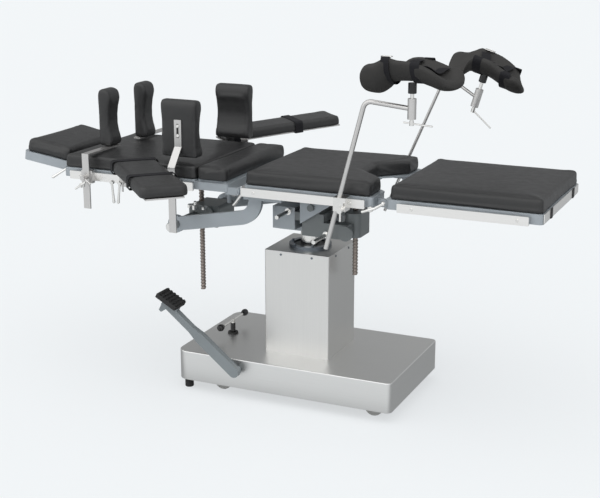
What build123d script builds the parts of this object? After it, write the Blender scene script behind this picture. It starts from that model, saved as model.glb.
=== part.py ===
from build123d import *
import math
import os

os.makedirs("parts", exist_ok=True)

# Driving dimensions, in millimetres
# The origin is on the floor under the lifting column. +X points to the foot end of the
# table, +Z up, and the near side, where the pedal is, is the -Y side.
table_width = 500.0
deck_z = 762.0
frame_height = 28.0
tray_thickness = 6.0
cushion_thickness = 48.0
seat_head_x = -143.0
seat_foot_x = 335.0
back_head_x = -880.0
back_foot_x = -205.0
kidney_seam_x = -330.0
kidney_foot_x = -213.0
leg_head_x = 378.0
leg_foot_x = 904.0
head_length = 224.0
head_width = 365.0
head_tilt = 8.0
head_frame_setback = 6.0
head_cushion_setback = 3.0
head_cushion_inset = 6.0

# Fits and clearances shared by all pieces
overrun = 2.0
running_fit = 0.05
soft_clearance = 0.3
side_play = 1.0

# Hinge lines of the table top
back_hinge_x = -176.0
back_hinge_z = 766.0
head_hinge_x = -885.0
head_hinge_z = 775.0
leg_hinge_x = 356.0
leg_hinge_z = 772.0
tilt_hinge_x = 55.0
tilt_hinge_z = 705.0
roll_axis_z = 640.0

# Section frames and their side rails
frame_bar = 40.0
frame_corner = 14.0
rib_inner_y = 105.0
rib_outer_y = 125.0
rail_gap = 15.0
rail_thickness = 8.0
rail_height = 30.0
rail_corner = 3.0
rail_spacer_radius = 6.5
rail_inset = 22.0
leg_rail_setback = 8.0
rail_spacer_shares = (0, 0.62, 1)

# Hinge lugs of the sections
lug_radius = 13.0
lug_thickness = 10.0
hinge_pin_radius = 7.0
back_lug_setback = 28.0
leg_lug_setback = 54.0
head_lug_y = 120.0
head_relief = 4.0

# Cushions
cushion_inset = 1.0
cushion_end_inset = 10.0
cushion_seam = 1.0
cushion_edge = 16.0
cushion_crown = 3.0
cushion_tuck = 3.0
cushion_base_inset = 2.0
notch_depth = 92.0
notch_inner_half = 56.0
notch_outer_half = 145.0
notch_corner = 18.0

# Base cover, chassis and castors
cover_head_x = -428.0
cover_foot_x = 410.0
cover_bottom_z = 40.0
cover_top_z = 150.0
sheet = 1.5
cover_head_corner = 45.0
cover_foot_corner = 20.0
cover_edge = 4.0
chassis_rail_width = 50.0
chassis_rail_inset = 40.0
chassis_head_x = -350.0
chassis_foot_x = 395.0
chassis_height = 48.0
chassis_member = 50.0
column_plate_half = 100.0
wheel_radius = 35.0
wheel_width = 26.0
wheel_edge = 5.0
axle_radius = 6.0
fork_wall = 4.0
fork_half = 22.0
swivel_x = -285.0
fixed_castor_x = 328.0
castor_trail = 20.0
swivel_lift = 2.0
swivel_stem_radius = 9.0
swivel_stem_length = 30.0

# Floor brake
brake_x = -321.0
brake_screw_radius = 8.0
brake_post_z = 207.0
brake_bar_radius = 5.0
brake_bar_half = 80.0
brake_knob_radius = 13.0
brake_knob_length = 30.0
brake_frame_z = 70.0
brake_frame_height = 20.0
brake_beam_x = -396.0
brake_beam_width = 24.0
brake_foot_inset = 38.0
brake_foot_radius = 16.0
brake_foot_height = 45.0
brake_travel = 8.0

# Lifting column, pump and pedal
column_half = 125.0
column_top_z = 535.0
column_corner = 6.0
flange_radius = 77.0
flange_inner_radius = 60.0
flange_height = 10.0
flange_bolt_radius = 5.0
flange_bolt_height = 6.0
flange_bolt_count = 6
cylinder_radius = 55.0
cylinder_foot_radius = 80.0
cylinder_foot_height = 12.0
cylinder_head_drop = 5.0
ram_radius = 34.95
ram_bottom_z = 165.0
cover_screw_radius = 4.0
cover_screw_height = 1.5
cover_screw_drop = 12.0
cover_screw_y = 60.0
pedal_x = -172.0
pedal_z = 115.0
pedal_shaft_radius = 11.95
pedal_hub_radius = 20.0
pedal_arm_length = 363.0
pedal_arm_angle = 141.0
pedal_arm_root = 40.0
pedal_arm_tip = 26.0
pedal_arm_thickness = 22.0
pedal_arm_gap = 20.0
pedal_neck_length = 190.0
pedal_taper = 45.0
pedal_pad_start = 303.0
pedal_pad_rise = 24.5
pedal_pad_angle = 151.0
pedal_seat_length = 62.0
pedal_tab_start = 332.0
pedal_tab_drop = 36.0
pedal_tab_width = 12.0
pedal_pad_length = 88.0
pedal_pad_width = 75.0
pedal_pad_thickness = 16.0
pedal_rib_count = 6
pedal_rib_height = 3.0
pump_head_x = -222.0
pump_foot_x = -100.0
pump_bottom_z = 72.0
pump_thickness = 36.0
pump_foot = 4.0
pump_bore_depth = 30.0
reservoir_radius = 26.0
reservoir_length = 127.0

# Saddle and side-tilt drive on the ram
saddle_z = 597.0
saddle_plate = 15.0
saddle_half_width = 50.0
saddle_head_x = -103.0
saddle_foot_x = 118.0
ear_thickness = 20.0
ear_radius = 25.0
trunnion_radius = 15.0
roll_case_foot_x = -17.0
roll_case_near_y = -100.0
roll_case_far_y = 60.0
roll_case_top_z = 693.0
roll_case_wall = 4.0
worm_x = -38.0
worm_z = 680.0
worm_radius = 8.0
worm_wheel_radius = 31.6
worm_wheel_width = 22.0
crank_radius = 7.0
crank_hex_radius = 8.0
crank_hex_length = 14.0
roll_crank_reach = 106.0

# Cradle and the head and foot tilt drive
cradle_head_x = -14.0
cradle_foot_x = 96.0
cradle_core_half = 40.0
cradle_core_z = 626.0
cradle_bridge_z = 650.0
cradle_bridge_top = 680.0
cradle_half_width = 104.0
cheek_inner_y = 66.0
cheek_head_x = 13.0
hub_radius = 24.0
hub_pin_radius = 12.0
hub_pin_end = 10.0
tilt_arm_z = 668.0
tilt_case_head_x = 152.0
tilt_case_foot_x = 212.0
tilt_case_half_width = 60.0
tilt_case_bottom_z = 595.0
tilt_case_top_z = 682.0
tilt_case_corner = 12.0
tilt_case_round = 24.0
tilt_boss_radius = 27.0
tilt_boss_height = 10.0
tilt_boss_x = 180.0
tilt_boss_z = 622.0
tilt_crank_x = 103.0
tilt_crank_z = 612.0
tilt_crank_reach = 122.0
screw_radius = 10.0
tilt_screw_x = 175.0
tilt_screw_bottom_z = 443.0
tilt_screw_top_z = 740.0
screw_eye_radius = 11.0
screw_eye_width = 20.0
ear_plate_thickness = 8.0
screw_ear_drop = 32.0
screw_ear_width = 30.0
hanger_thickness = 10.0
hanger_bottom_z = 643.0
hanger_head_x = 12.0
hanger_knee_x = 116.0
hanger_knee_z = 711.0
hanger_foot_x = 190.0
cross_member_x = 150.0
cross_member_width = 55.0

# Drive arms and the back drive
arm_setback = 68.0
arm_thickness = 16.0
arm_drop_x = -125.0
arm_knee_z = 672.0
arm_height = 50.0
arm_bend = 70.0
arm_plate_height = 17.0
arm_plate_reach = 100.0
arm_boss_radius = 32.0
gear_pivot_x = -445.0
gear_pivot_z = 612.0
gear_case_head_x = -466.0
gear_case_foot_x = -340.0
gear_case_half_width = 60.0
gear_case_bottom_z = 575.0
gear_case_top_z = 655.0
gear_boss_x = -383.0
gear_boss_z = 630.0
gear_boss_radius = 24.0
gear_boss_height = 14.0
gear_trunnion_radius = 16.0
gear_trunnion_proud = 4.0
back_crank_radius = 7.0
back_crank_reach = 48.0
back_screw_bottom_z = 310.0
back_screw_top_z = 738.0
back_ear_drop = 38.0
back_ear_width = 34.0

# Kidney lift
kidney_post_radius = 8.0
kidney_post_length = 100.0
kidney_post_y = 110.0
kidney_bar_head_x = -335.0

# Accessory bars, clamps and pads
bar_width = 28.0
bar_thickness = 6.0
bar_setoff = 9.0
bar_end_radius = 14.0
clamp_width = 46.0
clamp_jaw = 8.0
clamp_lip = 6.0
clamp_knob_radius = 9.0
clamp_knob_length = 26.0
clamp_lever_radius = 3.5
clamp_lever_length = 55.0
shoulder_bar_x = -761.0
shoulder_bar_bottom_z = 658.0
shoulder_bar_top_z = 860.0
shoulder_bar_end_y = 70.0
shoulder_pad_width = 80.0
shoulder_pad_height = 212.0
shoulder_pad_shift = 15.0
shoulder_pad_y = 100.0
pad_thickness = 55.0
pad_waist = 14.0
pad_edge = 8.0
body_bar_x = -406.0
body_bar_bottom_z = 605.0
body_bar_bend_z = 840.0
body_bar_top_z = 1000.0
body_bracket_z = 905.0
body_pad_x = -408.0
body_pad_width = 145.0
body_pad_height = 205.0
body_pad_bottom_z = 865.0
body_pad_inset = 21.0

# Armrests
armrest_clamp_x = -600.0
armrest_pivot_x = -525.0
armrest_pivot_setoff = 66.0
armrest_yaw = 46.0
armrest_overhang = 35.0
armrest_length = 485.0
armrest_width = 160.0
armrest_board_z = 826.0
armrest_board_thickness = 5.0
armrest_pad_thickness = 39.0
armrest_post_radius = 12.0
armrest_bracket_z = 803.0
armrest_bracket_height = 14.0
armrest_far_pitch = 4.5
armrest_far_shift = 24.0

# Leg holders
near_pole_radius = 8.0
far_pole_radius = 5.5
pole_setoff = 17.0
pole_bend = 28.0
holder_clamp_width = 44.0
holder_clamp_reach = 33.0
near_pole_x = 226.0
near_pole_lean = 14.8
near_elbow_z = 1123.0
near_knuckle_x = 477.0
near_knuckle_z = 1107.0
far_pole_x = 245.0
far_pole_lean = 23.2
far_elbow_z = 1137.0
far_knuckle_x = 518.0
far_knuckle_z = 1062.0
pole_below_rail = 145.0
barrel_radius = 14.0
barrel_height = 66.0
stem_radius = 6.0
stem_length = 36.0
stem_sleeve_radius = 10.0
stem_sleeve_length = 22.0
stem_tail = 14.0
stem_knob_radius = 7.0
stem_lever_length = 98.0
near_lever_back = 28.0
near_lever_droop = 4.0
far_lever_back = 8.0
far_lever_droop = 42.0
stem_lever_radius = 2.5
far_stem_tilt = 16.0
trough_wall = 28.0
trough_half_width = 66.0
trough_depth = 52.0
trough_head_reach = 172.0
trough_foot_reach = 165.0
trough_drop = 52.0
far_trough_pitch = 0.0

# Sizes that follow from those above
half_width = table_width / 2
frame_top_z = deck_z + frame_height
cushion_z = frame_top_z + tray_thickness + soft_clearance
cushion_top_z = cushion_z + cushion_thickness
rail_inner_y = half_width + rail_gap
rail_outer_y = rail_inner_y + rail_thickness
rail_low_z = deck_z - side_play * 2
back_lug_y = half_width - back_lug_setback
leg_lug_y = half_width - leg_lug_setback
arm_inner_y = half_width - arm_setback
arm_plate_inner_y = half_width - arm_plate_reach
gear_trunnion_end = arm_inner_y + arm_thickness + gear_trunnion_proud
bar_inner_y = rail_outer_y + bar_setoff
body_pad_outer_y = half_width - body_pad_inset
armrest_pivot_y = rail_outer_y + armrest_pivot_setoff
pole_y = rail_outer_y + pole_setoff
holder_clamp_outer_y = rail_outer_y + holder_clamp_reach
chassis_rail_outer = half_width - chassis_rail_inset
chassis_rail_inner = chassis_rail_outer - chassis_rail_width
castor_y = (chassis_rail_inner + chassis_rail_outer) / 2
brake_foot_y = half_width - brake_foot_inset
rail_high_z = rail_low_z + rail_height
chassis_top_z = cover_top_z - sheet
chassis_bottom_z = chassis_top_z - chassis_height
sides = (("near", -1), ("far", 1))


def front(y):
    """The upright plane at a distance y along the table's width, seen from the near side."""
    return Plane.XZ.offset(-y)


def ordered(first, second):
    """The two values, the smaller one first."""
    return (first, second) if first < second else (second, first)


def block(x_range, y_range, z_range, base=Plane.XY, mode=Mode.ADD):
    """A box between two places along each axis of the plane, in the piece being made."""
    with BuildSketch(base.offset(z_range[0])) as profile:
        with Locations((sum(x_range) / 2, sum(y_range) / 2)):
            Rectangle(x_range[1] - x_range[0], y_range[1] - y_range[0])
    extrude(profile.sketch, amount=z_range[1] - z_range[0], mode=mode)


def rod(start, direction, length, radius, mode=Mode.ADD):
    """A round bar from a point along a direction, in the piece being made."""
    with BuildSketch(Plane(origin=start, z_dir=direction)) as profile:
        Circle(radius)
    extrude(profile.sketch, amount=length, mode=mode)


def hex_end(start, direction, length, radius):
    """A six-sided end for a crank handle, in the piece being made."""
    with BuildSketch(Plane(origin=start, z_dir=direction)) as profile:
        RegularPolygon(radius, side_count=6)
    extrude(profile.sketch, amount=length)


def lug(x, z, y_range, reach_x, mode=Mode.ADD, base=None):
    """A rounded hinge lug about a point of the side view, reaching back to a frame."""
    plane = front(y_range[1]) if base is None else base.offset(-y_range[1])
    low_x, high_x = ordered(x, reach_x)
    with BuildSketch(plane) as profile:
        with Locations((x, z)):
            Circle(lug_radius)
        with Locations(((low_x + high_x) / 2, z)):
            Rectangle(high_x - low_x, lug_radius * 2)
    extrude(profile.sketch, amount=y_range[1] - y_range[0], mode=mode)


def cushion_body(base, length, width, thickness):
    """A padded slab: crowned top, rounded edges and sides drawn in between the corners."""
    steps = (
        (0, cushion_edge / 2, 0),
        (cushion_edge / 3, cushion_edge / 8, 0),
        (cushion_edge, 0, 0),
        (length / 2, 0, cushion_tuck),
        (length - cushion_edge, 0, 0),
        (length - cushion_edge / 3, cushion_edge / 8, 0),
        (length, cushion_edge / 2, 0),
    )
    faces = []
    for along, shrink, tuck in steps:
        half = width / 2 - shrink - tuck
        top = thickness - cushion_crown - shrink
        shoulder = half - cushion_base_inset
        crown_half = shoulder - cushion_edge
        side_top = top - cushion_edge
        arc_share = 1 - math.sqrt(0.5)
        origin = base.from_local_coords((along, 0, 0))
        with BuildSketch(Plane(origin=origin, x_dir=base.y_dir, z_dir=base.x_dir)) as section:
            with BuildLine():
                Line((-shoulder, 0), (shoulder, 0))
                ThreePointArc((shoulder, 0), (half, side_top / 2), (shoulder, side_top))
                ThreePointArc(
                    (shoulder, side_top),
                    (shoulder - cushion_edge * arc_share, top - cushion_edge * arc_share),
                    (crown_half, top),
                )
                ThreePointArc((crown_half, top), (0, top + cushion_crown), (-crown_half, top))
                ThreePointArc(
                    (-crown_half, top),
                    (cushion_edge * arc_share - shoulder, top - cushion_edge * arc_share),
                    (-shoulder, side_top),
                )
                ThreePointArc((-shoulder, side_top), (-half, side_top / 2), (-shoulder, 0))
            make_face()
        faces.append(section.sketch)
    loft(faces, ruled=True)


def perimeter_frame(x_range, y_half, z_range, base=Plane.XY):
    """An open frame of flat bars with rounded corners, in the piece being made."""
    middle_x = sum(x_range) / 2
    length = x_range[1] - x_range[0]
    with BuildSketch(base.offset(z_range[0])) as profile:
        with Locations((middle_x, 0)):
            RectangleRounded(length, y_half * 2, frame_corner)
            Rectangle(length - frame_bar * 2, (y_half - frame_bar) * 2, mode=Mode.SUBTRACT)
    extrude(profile.sketch, amount=z_range[1] - z_range[0])


# Base cover: a sheet-steel hood, open below
with BuildPart() as base_cover:
    with BuildSketch(Plane.XY.offset(cover_bottom_z)) as outline:
        with Locations(((cover_head_x + cover_foot_x) / 2, 0)):
            Rectangle(cover_foot_x - cover_head_x, table_width)
        fillet(outline.vertices().group_by(Axis.X)[0], radius=cover_head_corner)
        fillet(outline.vertices().group_by(Axis.X)[-1], radius=cover_foot_corner)
    extrude(amount=cover_top_z - cover_bottom_z)
    fillet(base_cover.faces().sort_by(Axis.Z)[-1].edges(), radius=cover_edge)
    offset(amount=-sheet, openings=base_cover.faces().sort_by(Axis.Z)[0])
    block(
        (-column_plate_half, column_plate_half),
        (-column_plate_half, column_plate_half),
        (cover_top_z - sheet - overrun, cover_top_z + overrun),
        mode=Mode.SUBTRACT,
    )
    rod(
        (brake_x, 0, cover_top_z - sheet - overrun),
        (0, 0, 1),
        sheet + overrun * 2,
        brake_screw_radius + side_play,
        mode=Mode.SUBTRACT,
    )
    rod(
        (pedal_x, -half_width - overrun, pedal_z),
        (0, 1, 0),
        sheet + overrun * 2,
        pedal_shaft_radius + side_play,
        mode=Mode.SUBTRACT,
    )
base_cover.part.label = "base_cover"
export_step(base_cover.part, "parts/base_cover.step")


def castor_fork(x, y, trail, lift, stem_top):
    """A pressed fork: top plate, two cheeks and the axle that carries a wheel."""
    axle_z = wheel_radius + lift
    plate_z = axle_z + wheel_radius + fork_wall * 3
    cheek_inner = wheel_width / 2 + side_play
    cheek_outer = cheek_inner + fork_wall
    block((x - fork_half, x + fork_half), (y - fork_half, y + fork_half), (plate_z, plate_z + fork_wall))
    for side in (-1, 1):
        cheek_y = ordered(y + side * cheek_inner, y + side * cheek_outer)
        with BuildSketch(front(cheek_y[1])) as cheek:
            with BuildLine():
                Polyline(
                    (x - fork_half, plate_z),
                    (x + fork_half, plate_z),
                    (x + trail + axle_radius * 2, axle_z - axle_radius * 2),
                    (x + trail - axle_radius * 2, axle_z - axle_radius * 2),
                    (x - fork_half, plate_z),
                )
            make_face()
        extrude(cheek.sketch, amount=cheek_y[1] - cheek_y[0])
    rod((x + trail, y - cheek_outer, axle_z), (0, 1, 0), cheek_outer * 2, axle_radius)
    rod((x, y, plate_z), (0, 0, 1), stem_top - plate_z, swivel_stem_radius)


# Chassis: two long box rails, cross members and the fixed castors' forks
with BuildPart() as chassis:
    for side in (-1, 1):
        block(
            (chassis_head_x, chassis_foot_x),
            ordered(side * chassis_rail_inner, side * chassis_rail_outer),
            (chassis_bottom_z, chassis_top_z),
        )
    for member_x in (chassis_head_x, chassis_foot_x - chassis_member):
        block(
            (member_x, member_x + chassis_member),
            (-chassis_rail_inner, chassis_rail_inner),
            (chassis_bottom_z, chassis_top_z),
        )
    block(
        (-column_plate_half, column_plate_half),
        (-chassis_rail_inner, chassis_rail_inner),
        (chassis_bottom_z, chassis_top_z),
    )
    rod(
        (brake_x, 0, chassis_bottom_z - overrun),
        (0, 0, 1),
        chassis_height + overrun * 2,
        brake_screw_radius + running_fit,
        mode=Mode.SUBTRACT,
    )
    for side in (-1, 1):
        rod(
            (swivel_x, side * castor_y, chassis_bottom_z - overrun),
            (0, 0, 1),
            swivel_stem_length + overrun + side_play,
            swivel_stem_radius + running_fit,
            mode=Mode.SUBTRACT,
        )
        castor_fork(fixed_castor_x, side * castor_y, 0, 0, chassis_bottom_z)
chassis.part.label = "chassis"
export_step(chassis.part, "parts/chassis.step")

# Swivel forks of the head-end castors
for side_name, side in sides:
    with BuildPart() as swivel_fork:
        castor_fork(
            swivel_x, side * castor_y, castor_trail, swivel_lift, chassis_bottom_z + swivel_stem_length
        )
    swivel_fork.part.label = "swivel_fork_" + side_name
    export_step(swivel_fork.part, "parts/swivel_fork_" + side_name + ".step")

# Castor wheels
for end_name, wheel_x, wheel_z in (
    ("head", swivel_x + castor_trail, wheel_radius + swivel_lift),
    ("foot", fixed_castor_x, wheel_radius),
):
    for side_name, side in sides:
        with BuildPart() as castor_wheel:
            rod(
                (wheel_x, side * castor_y - wheel_width / 2, wheel_z),
                (0, 1, 0),
                wheel_width,
                wheel_radius,
            )
            fillet(castor_wheel.edges().filter_by(GeomType.CIRCLE), radius=wheel_edge)
            rod(
                (wheel_x, side * castor_y - wheel_width, wheel_z),
                (0, 1, 0),
                wheel_width * 2,
                axle_radius + running_fit,
                mode=Mode.SUBTRACT,
            )
        castor_wheel.part.label = "castor_wheel_" + end_name + "_" + side_name
        export_step(castor_wheel.part, "parts/castor_wheel_" + end_name + "_" + side_name + ".step")

# Brake handle: a screw through the chassis with a cross bar on top
with BuildPart() as brake_handle:
    rod((brake_x, 0, brake_frame_z), (0, 0, 1), brake_post_z - brake_frame_z, brake_screw_radius)
    rod(
        (brake_x, -brake_bar_half, brake_post_z - brake_bar_radius),
        (0, 1, 0),
        brake_bar_half * 2,
        brake_bar_radius,
    )
brake_handle.part.label = "brake_handle"
export_step(brake_handle.part, "parts/brake_handle.step")

# Brake knobs: a ball with a short neck on each end of the cross bar
with BuildPart() as brake_knobs:
    for side in (-1, 1):
        start_y = side * brake_bar_half
        knob_plane = Plane(
            origin=(brake_x, start_y, brake_post_z - brake_bar_radius), x_dir=(0, side, 0), z_dir=(1, 0, 0)
        )
        with BuildSketch(knob_plane) as knob:
            with BuildLine():
                Line((0, 0), (0, brake_bar_radius + side_play))
                Line(
                    (0, brake_bar_radius + side_play),
                    (brake_knob_length - brake_knob_radius, brake_knob_radius),
                )
                ThreePointArc(
                    (brake_knob_length - brake_knob_radius, brake_knob_radius),
                    (
                        brake_knob_length - brake_knob_radius * (1 - math.sqrt(0.5)),
                        brake_knob_radius * math.sqrt(0.5),
                    ),
                    (brake_knob_length, 0),
                )
                Line((brake_knob_length, 0), (0, 0))
            make_face()
        revolve(knob.sketch, axis=Axis(knob_plane.origin, knob_plane.x_dir))
brake_knobs.part.label = "brake_knobs"
export_step(brake_knobs.part, "parts/brake_knobs.step")

# Brake frame: the beam that carries both feet, with the nut for the brake screw
with BuildPart() as brake_frame:
    beam_x = (brake_beam_x - brake_beam_width / 2, brake_beam_x + brake_beam_width / 2)
    frame_z = (brake_frame_z, brake_frame_z + brake_frame_height)
    block(beam_x, (-brake_foot_y - brake_foot_radius, brake_foot_y + brake_foot_radius), frame_z)
    block((beam_x[1], brake_x + brake_foot_radius), (-brake_foot_radius, brake_foot_radius), frame_z)
    rod(
        (brake_x, 0, brake_frame_z - overrun),
        (0, 0, 1),
        brake_frame_height + overrun * 2,
        brake_screw_radius + running_fit,
        mode=Mode.SUBTRACT,
    )
    for side in (-1, 1):
        rod(
            (brake_beam_x, side * brake_foot_y, brake_foot_height),
            (0, 0, 1),
            brake_frame_z - brake_foot_height,
            brake_screw_radius,
        )
brake_frame.part.label = "brake_frame"
export_step(brake_frame.part, "parts/brake_frame.step")

# Brake feet: rubber, on the floor when the table is locked
with BuildPart() as brake_feet:
    for side in (-1, 1):
        rod((brake_beam_x, side * brake_foot_y, 0), (0, 0, 1), brake_foot_height, brake_foot_radius)
    fillet(brake_feet.edges().group_by(Axis.Z)[0], radius=cover_edge)
brake_feet.part.label = "brake_feet"
export_step(brake_feet.part, "parts/brake_feet.step")

# Column cover: a square sheet-steel hood over the lifting cylinder
with BuildPart() as column_cover:
    with BuildSketch(Plane.XY.offset(cover_top_z)):
        RectangleRounded(column_half * 2, column_half * 2, column_corner)
    extrude(amount=column_top_z - cover_top_z)
    offset(amount=-sheet, openings=column_cover.faces().sort_by(Axis.Z)[0])
    rod(
        (0, 0, column_top_z - sheet - overrun),
        (0, 0, 1),
        sheet + overrun * 2,
        cylinder_radius + side_play,
        mode=Mode.SUBTRACT,
    )
column_cover.part.label = "column_cover"
export_step(column_cover.part, "parts/column_cover.step")

# Column flange: the ring on the cover, its bolts and the cover's own screws
with BuildPart() as column_flange:
    with BuildSketch(Plane.XY.offset(column_top_z)):
        Circle(flange_radius)
        Circle(flange_inner_radius, mode=Mode.SUBTRACT)
    extrude(amount=flange_height)
    with BuildSketch(Plane.XY.offset(column_top_z + flange_height)):
        with PolarLocations((flange_radius + flange_inner_radius) / 2, flange_bolt_count):
            RegularPolygon(flange_bolt_radius, side_count=6)
    extrude(amount=flange_bolt_height)
    for turn in range(4):
        face_plane = Plane.XY.rotated((0, 0, turn * 90))
        start = face_plane.x_dir * column_half + Vector(0, 0, column_top_z - cover_screw_drop)
        for side in (-1, 1):
            rod(
                start + face_plane.y_dir * side * cover_screw_y,
                face_plane.x_dir,
                cover_screw_height,
                cover_screw_radius,
            )
column_flange.part.label = "column_flange"
export_step(column_flange.part, "parts/column_flange.step")

# Lifting cylinder: bolted to the chassis, with the bore for the ram
with BuildPart() as lift_cylinder:
    rod((0, 0, chassis_top_z), (0, 0, 1), cylinder_foot_height, cylinder_foot_radius)
    rod(
        (0, 0, chassis_top_z),
        (0, 0, 1),
        column_top_z + cylinder_head_drop - chassis_top_z,
        cylinder_radius,
    )
    rod(
        (0, 0, ram_bottom_z - overrun),
        (0, 0, 1),
        column_top_z - ram_bottom_z + cylinder_head_drop + overrun * 2,
        ram_radius + running_fit,
        mode=Mode.SUBTRACT,
    )
lift_cylinder.part.label = "lift_cylinder"
export_step(lift_cylinder.part, "parts/lift_cylinder.step")

# Pump unit: the block that the pedal works, with its oil tank
with BuildPart() as pump_unit:
    block(
        (pump_head_x, pump_foot_x),
        (-chassis_rail_outer - pump_thickness, -chassis_rail_outer),
        (pump_bottom_z, chassis_top_z - side_play),
    )
    rod(
        (pedal_x, -chassis_rail_outer - pump_thickness - overrun, pedal_z),
        (0, 1, 0),
        pump_bore_depth + overrun,
        pedal_shaft_radius + running_fit,
        mode=Mode.SUBTRACT,
    )
    block(
        (pump_head_x, pump_foot_x),
        (-chassis_rail_outer, reservoir_radius - chassis_rail_inner),
        (pump_bottom_z - pump_foot, chassis_bottom_z),
    )
    rod(
        (pump_head_x, -reservoir_radius, pump_bottom_z),
        (1, 0, 0),
        reservoir_length,
        reservoir_radius,
    )
    block(
        (pump_head_x, pump_foot_x),
        (reservoir_radius - chassis_rail_inner, -reservoir_radius),
        (pump_bottom_z - pump_foot, pump_bottom_z + pump_foot),
    )
pump_unit.part.label = "pump_unit"
export_step(pump_unit.part, "parts/pump_unit.step")

# Pedal: a shaft into the pump, a hub and a tapered arm with a narrower neck
pedal_direction = (math.cos(math.radians(pedal_arm_angle)), math.sin(math.radians(pedal_arm_angle)))
pedal_outer_y = -half_width - pedal_arm_gap - pedal_arm_thickness
pedal_view = Plane(
    origin=(pedal_x, pedal_outer_y, pedal_z),
    x_dir=(pedal_direction[0], 0, pedal_direction[1]),
    z_dir=(0, 1, 0),
)
pedal_pad_view = Plane(
    origin=pedal_view.from_local_coords((pedal_pad_start, pedal_pad_rise, 0)),
    x_dir=(math.cos(math.radians(pedal_pad_angle)), 0, math.sin(math.radians(pedal_pad_angle))),
    z_dir=(0, 1, 0),
)
with BuildPart() as pedal_arm:
    with BuildSketch(pedal_view) as arm_outline:
        Circle(pedal_hub_radius)
        with BuildLine():
            Polyline(
                (0, -pedal_arm_root / 2),
                (pedal_arm_length - pedal_neck_length, -pedal_arm_root / 2),
                (pedal_arm_length - pedal_neck_length + pedal_taper, -pedal_arm_tip / 2),
                (pedal_arm_length, -pedal_arm_tip / 2),
                (pedal_arm_length, pedal_arm_tip / 2),
                (pedal_arm_length - pedal_neck_length + pedal_taper, pedal_arm_tip / 2),
                (pedal_arm_length - pedal_neck_length, pedal_arm_root / 2),
                (0, pedal_arm_root / 2),
                close=True,
            )
        make_face()
        with BuildLine():
            Polyline(
                (pedal_tab_start, 0),
                (pedal_tab_start + pedal_tab_width, -pedal_tab_drop),
                (pedal_tab_start + pedal_tab_width * 2, -pedal_tab_drop),
                (pedal_arm_length, 0),
                close=True,
            )
        make_face()
    with BuildSketch(pedal_pad_view) as pad_seat:
        with BuildLine():
            Polyline(
                (0, 0),
                (pedal_seat_length, 0),
                (pedal_seat_length, -pedal_arm_tip / 2),
                (0, -pedal_arm_tip),
                close=True,
            )
        make_face()
    extrude(pad_seat.sketch, amount=pedal_arm_thickness)
    extrude(arm_outline.sketch, amount=pedal_arm_thickness)
    shaft_end_y = pump_bore_depth - side_play - chassis_rail_outer - pump_thickness
    rod((pedal_x, pedal_outer_y, pedal_z), (0, 1, 0), shaft_end_y - pedal_outer_y, pedal_shaft_radius)
pedal_arm.part.label = "pedal_arm"
export_step(pedal_arm.part, "parts/pedal_arm.step")

# Pedal pad: a ribbed rubber tread on the upper side of the arm's tip
with BuildPart() as pedal_pad:
    with BuildSketch(pedal_pad_view) as tread:
        with Locations((pedal_pad_length / 2, pedal_pad_thickness / 2)):
            Rectangle(pedal_pad_length, pedal_pad_thickness)
        rib_pitch = pedal_pad_length / pedal_rib_count
        for rib in range(pedal_rib_count):
            with Locations((rib_pitch * rib + rib_pitch / 2, pedal_pad_thickness + pedal_rib_height / 2)):
                Rectangle(rib_pitch / 2, pedal_rib_height)
    extrude(
        tread.sketch,
        amount=(pedal_pad_width + pedal_arm_thickness) / 2,
    )
    extrude(
        tread.sketch,
        amount=-(pedal_pad_width - pedal_arm_thickness) / 2,
    )
pedal_pad.part.label = "pedal_pad"
export_step(pedal_pad.part, "parts/pedal_pad.step")

# Lift ram
with BuildPart() as lift_ram:
    rod((0, 0, ram_bottom_z), (0, 0, 1), saddle_z - ram_bottom_z, ram_radius)
lift_ram.part.label = "lift_ram"
export_step(lift_ram.part, "parts/lift_ram.step")

# Saddle: plate on the ram with the foot-end bearing of the side-tilt trunnion
with BuildPart() as saddle:
    block(
        (saddle_head_x, saddle_foot_x),
        (-saddle_half_width, saddle_half_width),
        (saddle_z, saddle_z + saddle_plate),
    )
    block(
        (saddle_foot_x - ear_thickness, saddle_foot_x),
        (-ear_radius, ear_radius),
        (saddle_z + saddle_plate, roll_axis_z),
    )
    rod((saddle_foot_x - ear_thickness, 0, roll_axis_z), (1, 0, 0), ear_thickness, ear_radius)
    rod(
        (saddle_foot_x - ear_thickness - overrun, 0, roll_axis_z),
        (1, 0, 0),
        ear_thickness + overrun * 2,
        trunnion_radius + running_fit,
        mode=Mode.SUBTRACT,
    )
saddle.part.label = "saddle"
export_step(saddle.part, "parts/saddle.step")

# Side-tilt gearbox: the case on the saddle that holds the worm and its wheel
with BuildPart() as roll_gearbox:
    case_bottom_z = saddle_z + saddle_plate
    block(
        (saddle_head_x, roll_case_foot_x),
        (roll_case_near_y, roll_case_far_y),
        (case_bottom_z, roll_case_top_z),
    )
    block(
        (saddle_head_x + roll_case_wall, roll_case_foot_x - roll_case_wall),
        (roll_case_near_y + roll_case_wall, roll_case_far_y - roll_case_wall),
        (case_bottom_z + roll_case_wall, roll_case_top_z - roll_case_wall),
        mode=Mode.SUBTRACT,
    )
    rod(
        (saddle_head_x - overrun, 0, roll_axis_z),
        (1, 0, 0),
        roll_case_foot_x - saddle_head_x + overrun * 2,
        trunnion_radius + running_fit,
        mode=Mode.SUBTRACT,
    )
    rod(
        (worm_x, roll_case_near_y - overrun, worm_z),
        (0, 1, 0),
        roll_case_far_y - roll_case_near_y + overrun * 2,
        crank_radius + running_fit,
        mode=Mode.SUBTRACT,
    )
roll_gearbox.part.label = "roll_gearbox"
export_step(roll_gearbox.part, "parts/roll_gearbox.step")

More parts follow.
